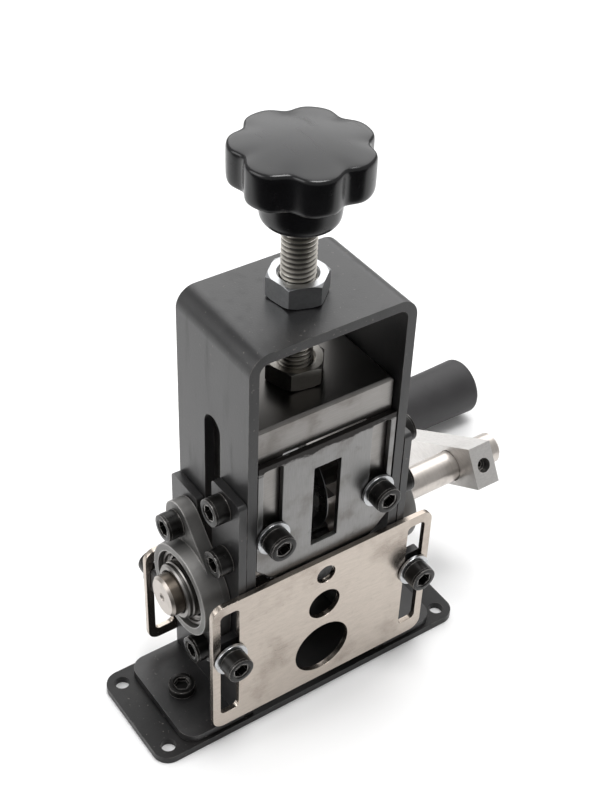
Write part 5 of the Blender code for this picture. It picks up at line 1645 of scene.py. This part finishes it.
    def knob_rows(self, foot: float) -> list[tuple[float, float, float]]:
        """The rings of the knob from its foot to its crown.

        Args:
            foot: The height of the knob's foot.

        Returns:
            Rings as (height, radius, how much of the valleys they have).
        """
        radius, hub = self.knob_radius, self.hub
        rim = foot + self.hub_height - self.rim_drop
        top = rim + self.rim_height + 2 * self.rim_drop
        rise, flare = self.hub_flare
        under, valley = self.under_shares
        rows = [(foot + height, hub * share, 0.0) for height, share in self.foot_rows]
        rows += [(rim - rise, hub, 0.0), (rim, hub + flare, 0.0), (rim, radius * under, valley)]
        rows += [(rim + height, radius - inset, 1.0) for height, inset in self.lower_rows]
        rows += [(top + height, radius - inset, 1.0) for height, inset in self.upper_rows]
        rows += [(top + height, radius * share, valley) for height, share, valley in self.dome_rows]
        return rows

    def draw_in(self, piece: bpy.types.Object, height: float, before: float, after: float) -> None:
        """Draws the corners between the lobes inwards, then takes the cap again.

        Args:
            piece: The knob in edit mode.
            height: The height of its present cap.
            before: How much of the valleys the cap has already.
            after: How much of them it gets.
        """
        step = 2 * pi / self.lobes
        mesh = bmesh.from_edit_mesh(piece.data)
        cap = next(face for face in mesh.faces if face.select and len(face.verts) > 4)
        number = cap.index
        rings = {}
        for vert in cap.verts:
            phase = (math.atan2(vert.co.y, vert.co.x) - self.lobe_turn) / step
            rings.setdefault(round(abs(phase - round(phase)) * self.lobe_steps), set()).add(vert.index)
        for ring, wanted in rings.items():
            depth = self.valley_shares[ring]
            share = (1 - depth * after) / (1 - depth * before)
            Shop.pick(piece, "verts", lambda vert, wanted=wanted: vert.index in wanted)
            bpy.ops.transform.resize(value=(share, share, 1.0), center_override=(0, 0, height))
        Shop.pick(piece, "faces", lambda face: face.index == number)

    def fit(self, piece: bpy.types.Object, low: Vector, high: Vector) -> None:
        """Stretches the knob to its node's box, as the subdivision shrinks it.

        Args:
            piece: The knob.
            low: The node's lowest corner.
            high: The node's highest corner.
        """
        heights = [vert.co.z for vert in piece.data.vertices]
        reach = max(vert.co.xy.length for vert in piece.data.vertices)
        grow = self.knob_reach / reach
        tall = (high.z - low.z) / (max(heights) - min(heights))
        Shop.take(piece)
        bpy.ops.object.mode_set(mode="EDIT")
        bpy.ops.mesh.select_all(action="SELECT")
        bpy.ops.transform.resize(value=(grow, grow, tall), center_override=(0, 0, min(heights)))
        bpy.ops.transform.translate(value=(0, 0, low.z - min(heights)))
        Shop.leave()


def dress_plain_nodes(finishes: Finishes) -> None:
    """Gives the nodes that keep their own shape a finish.

    Args:
        finishes: The machine's finishes.
    """
    looks = {"feed_roller": finishes.blade_steel, "crank_set_screw": finishes.black_oxide,
             "grip_pin": finishes.shaft_steel, "blade_axle": finishes.shaft_steel,
             "left_blade_spacer": finishes.race_steel, "right_blade_spacer": finishes.race_steel}
    for name, finish in looks.items():
        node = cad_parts[name]
        node.data.materials.clear()
        node.data.materials.append(finish)
        log.info("%s: own shape", name)


# Studio

@dataclass
class Studio:
    """The pale floor, the soft lights, a dark card and the camera."""

    floor_colour: tuple = (0.93, 0.93, 0.93)
    floor_width: float = 6.0
    floor_gap: float = 0.0002
    room: float = 0.5
    card_colour: tuple = (0.004, 0.004, 0.004)
    card_width: float = 3.0
    card_near: float = 0.05
    card_far: float = 0.18
    towards_camera: tuple = (-0.615, -0.788)
    focal: float = 65.38
    camera_place: tuple = (-0.2126, -0.2984, 0.4266)
    camera_turn: tuple = (radians(49.198), radians(-2.15), radians(-34.565))
    shift: tuple = (-0.0092, 0.039)
    sensor: float = 36.0
    nearest: float = 0.01
    aim: tuple = (0.0, 0.0, 0.08)
    soft_boxes: tuple = (("back_box", (0.6, 0.78, 1.0), 1.3, 10.0), ("top_box", (0.1, -0.1, 1.25), 0.45, 8.0),
                         ("left_box", (-1.0, 0.3, 0.75), 0.8, 6.0))

    def build(self) -> None:
        """Builds the studio."""
        self.floor()
        self.card()
        self.world()
        self.lamps()
        self.camera()

    def floor(self) -> None:
        """A wide white floor."""
        bpy.ops.object.select_all(action="DESELECT")
        bpy.ops.mesh.primitive_plane_add(size=self.floor_width, location=(0, 0, -self.floor_gap))
        floor = Shop.settle("floor")
        graph = Graph("floor_white")
        graph.finish(Base_Color=self.floor_colour, Roughness=0.6, Specular_IOR_Level=0.2)
        floor.data.materials.append(graph.material)

    def card(self) -> None:
        """A dark card on the floor before the machine, which only reflections show."""
        bpy.ops.object.select_all(action="DESELECT")
        bpy.ops.mesh.primitive_plane_add(size=self.card_width, location=(0, 0, self.floor_gap))
        card = Shop.settle("dark_card")
        graph = Graph("card_black")
        x, y = self.towards_camera
        reach = graph.along(Axis.X) * x + graph.along(Axis.Y) * y
        graph.finish(Base_Color=self.card_colour, Roughness=1.0, Specular_IOR_Level=0.0,
                     Alpha=reach.between(self.card_near, self.card_far))
        card.data.materials.append(graph.material)
        for ray in ("camera", "diffuse", "shadow", "transmission"):
            setattr(card, "visible_" + ray, False)

    def world(self) -> None:
        """A white room, seen by metal."""
        world = bpy.data.worlds.new("room")
        world.use_nodes = True
        bpy.context.scene.world = world
        back = world.node_tree.nodes["Background"]
        back.inputs["Color"].default_value = (1.0, 1.0, 1.0, 1.0)
        back.inputs["Strength"].default_value = self.room

    def lamp(self, name: str, spot: Point, size: float, power: float) -> None:
        """A square soft light that looks at the machine.

        Args:
            name: Its name.
            spot: Its place.
            size: Its width.
            power: Its power in watts.
        """
        turn = (Vector(self.aim) - Vector(spot)).to_track_quat("-Z", "Y").to_euler()
        bpy.ops.object.select_all(action="DESELECT")
        bpy.ops.object.light_add(type="AREA", location=spot, rotation=turn)
        lamp = bpy.context.active_object
        lamp.name = name
        lamp.data.size = size
        lamp.data.energy = power

    def lamps(self) -> None:
        """A large soft box behind, one above and one on the left."""
        for soft_box in self.soft_boxes:
            self.lamp(*soft_box)

    def camera(self) -> None:
        """The camera at the photograph's angle."""
        bpy.ops.object.select_all(action="DESELECT")
        bpy.ops.object.camera_add(location=self.camera_place, rotation=self.camera_turn)
        camera = bpy.context.active_object
        camera.data.sensor_fit = "VERTICAL"
        camera.data.sensor_height = self.sensor
        camera.data.lens = self.focal
        camera.data.shift_x, camera.data.shift_y = self.shift
        camera.data.clip_start = self.nearest
        bpy.context.scene.camera = camera
        bpy.context.scene.view_settings.view_transform = "Standard"


def main() -> None:
    """Builds the machine's looks and the studio round them."""
    logging.basicConfig(level=logging.INFO, format="%(name)s: %(message)s")
    finishes = Finishes()
    for part in (Stand(finishes), Bearings(finishes), Fasteners(finishes), Guides(finishes), Drive(finishes),
                 Carriage(finishes), Spindle(finishes), Studio()):
        log.info("building %s", type(part).__name__)
        part.build()
    dress_plain_nodes(finishes)


if __name__ == "__main__":
    main()
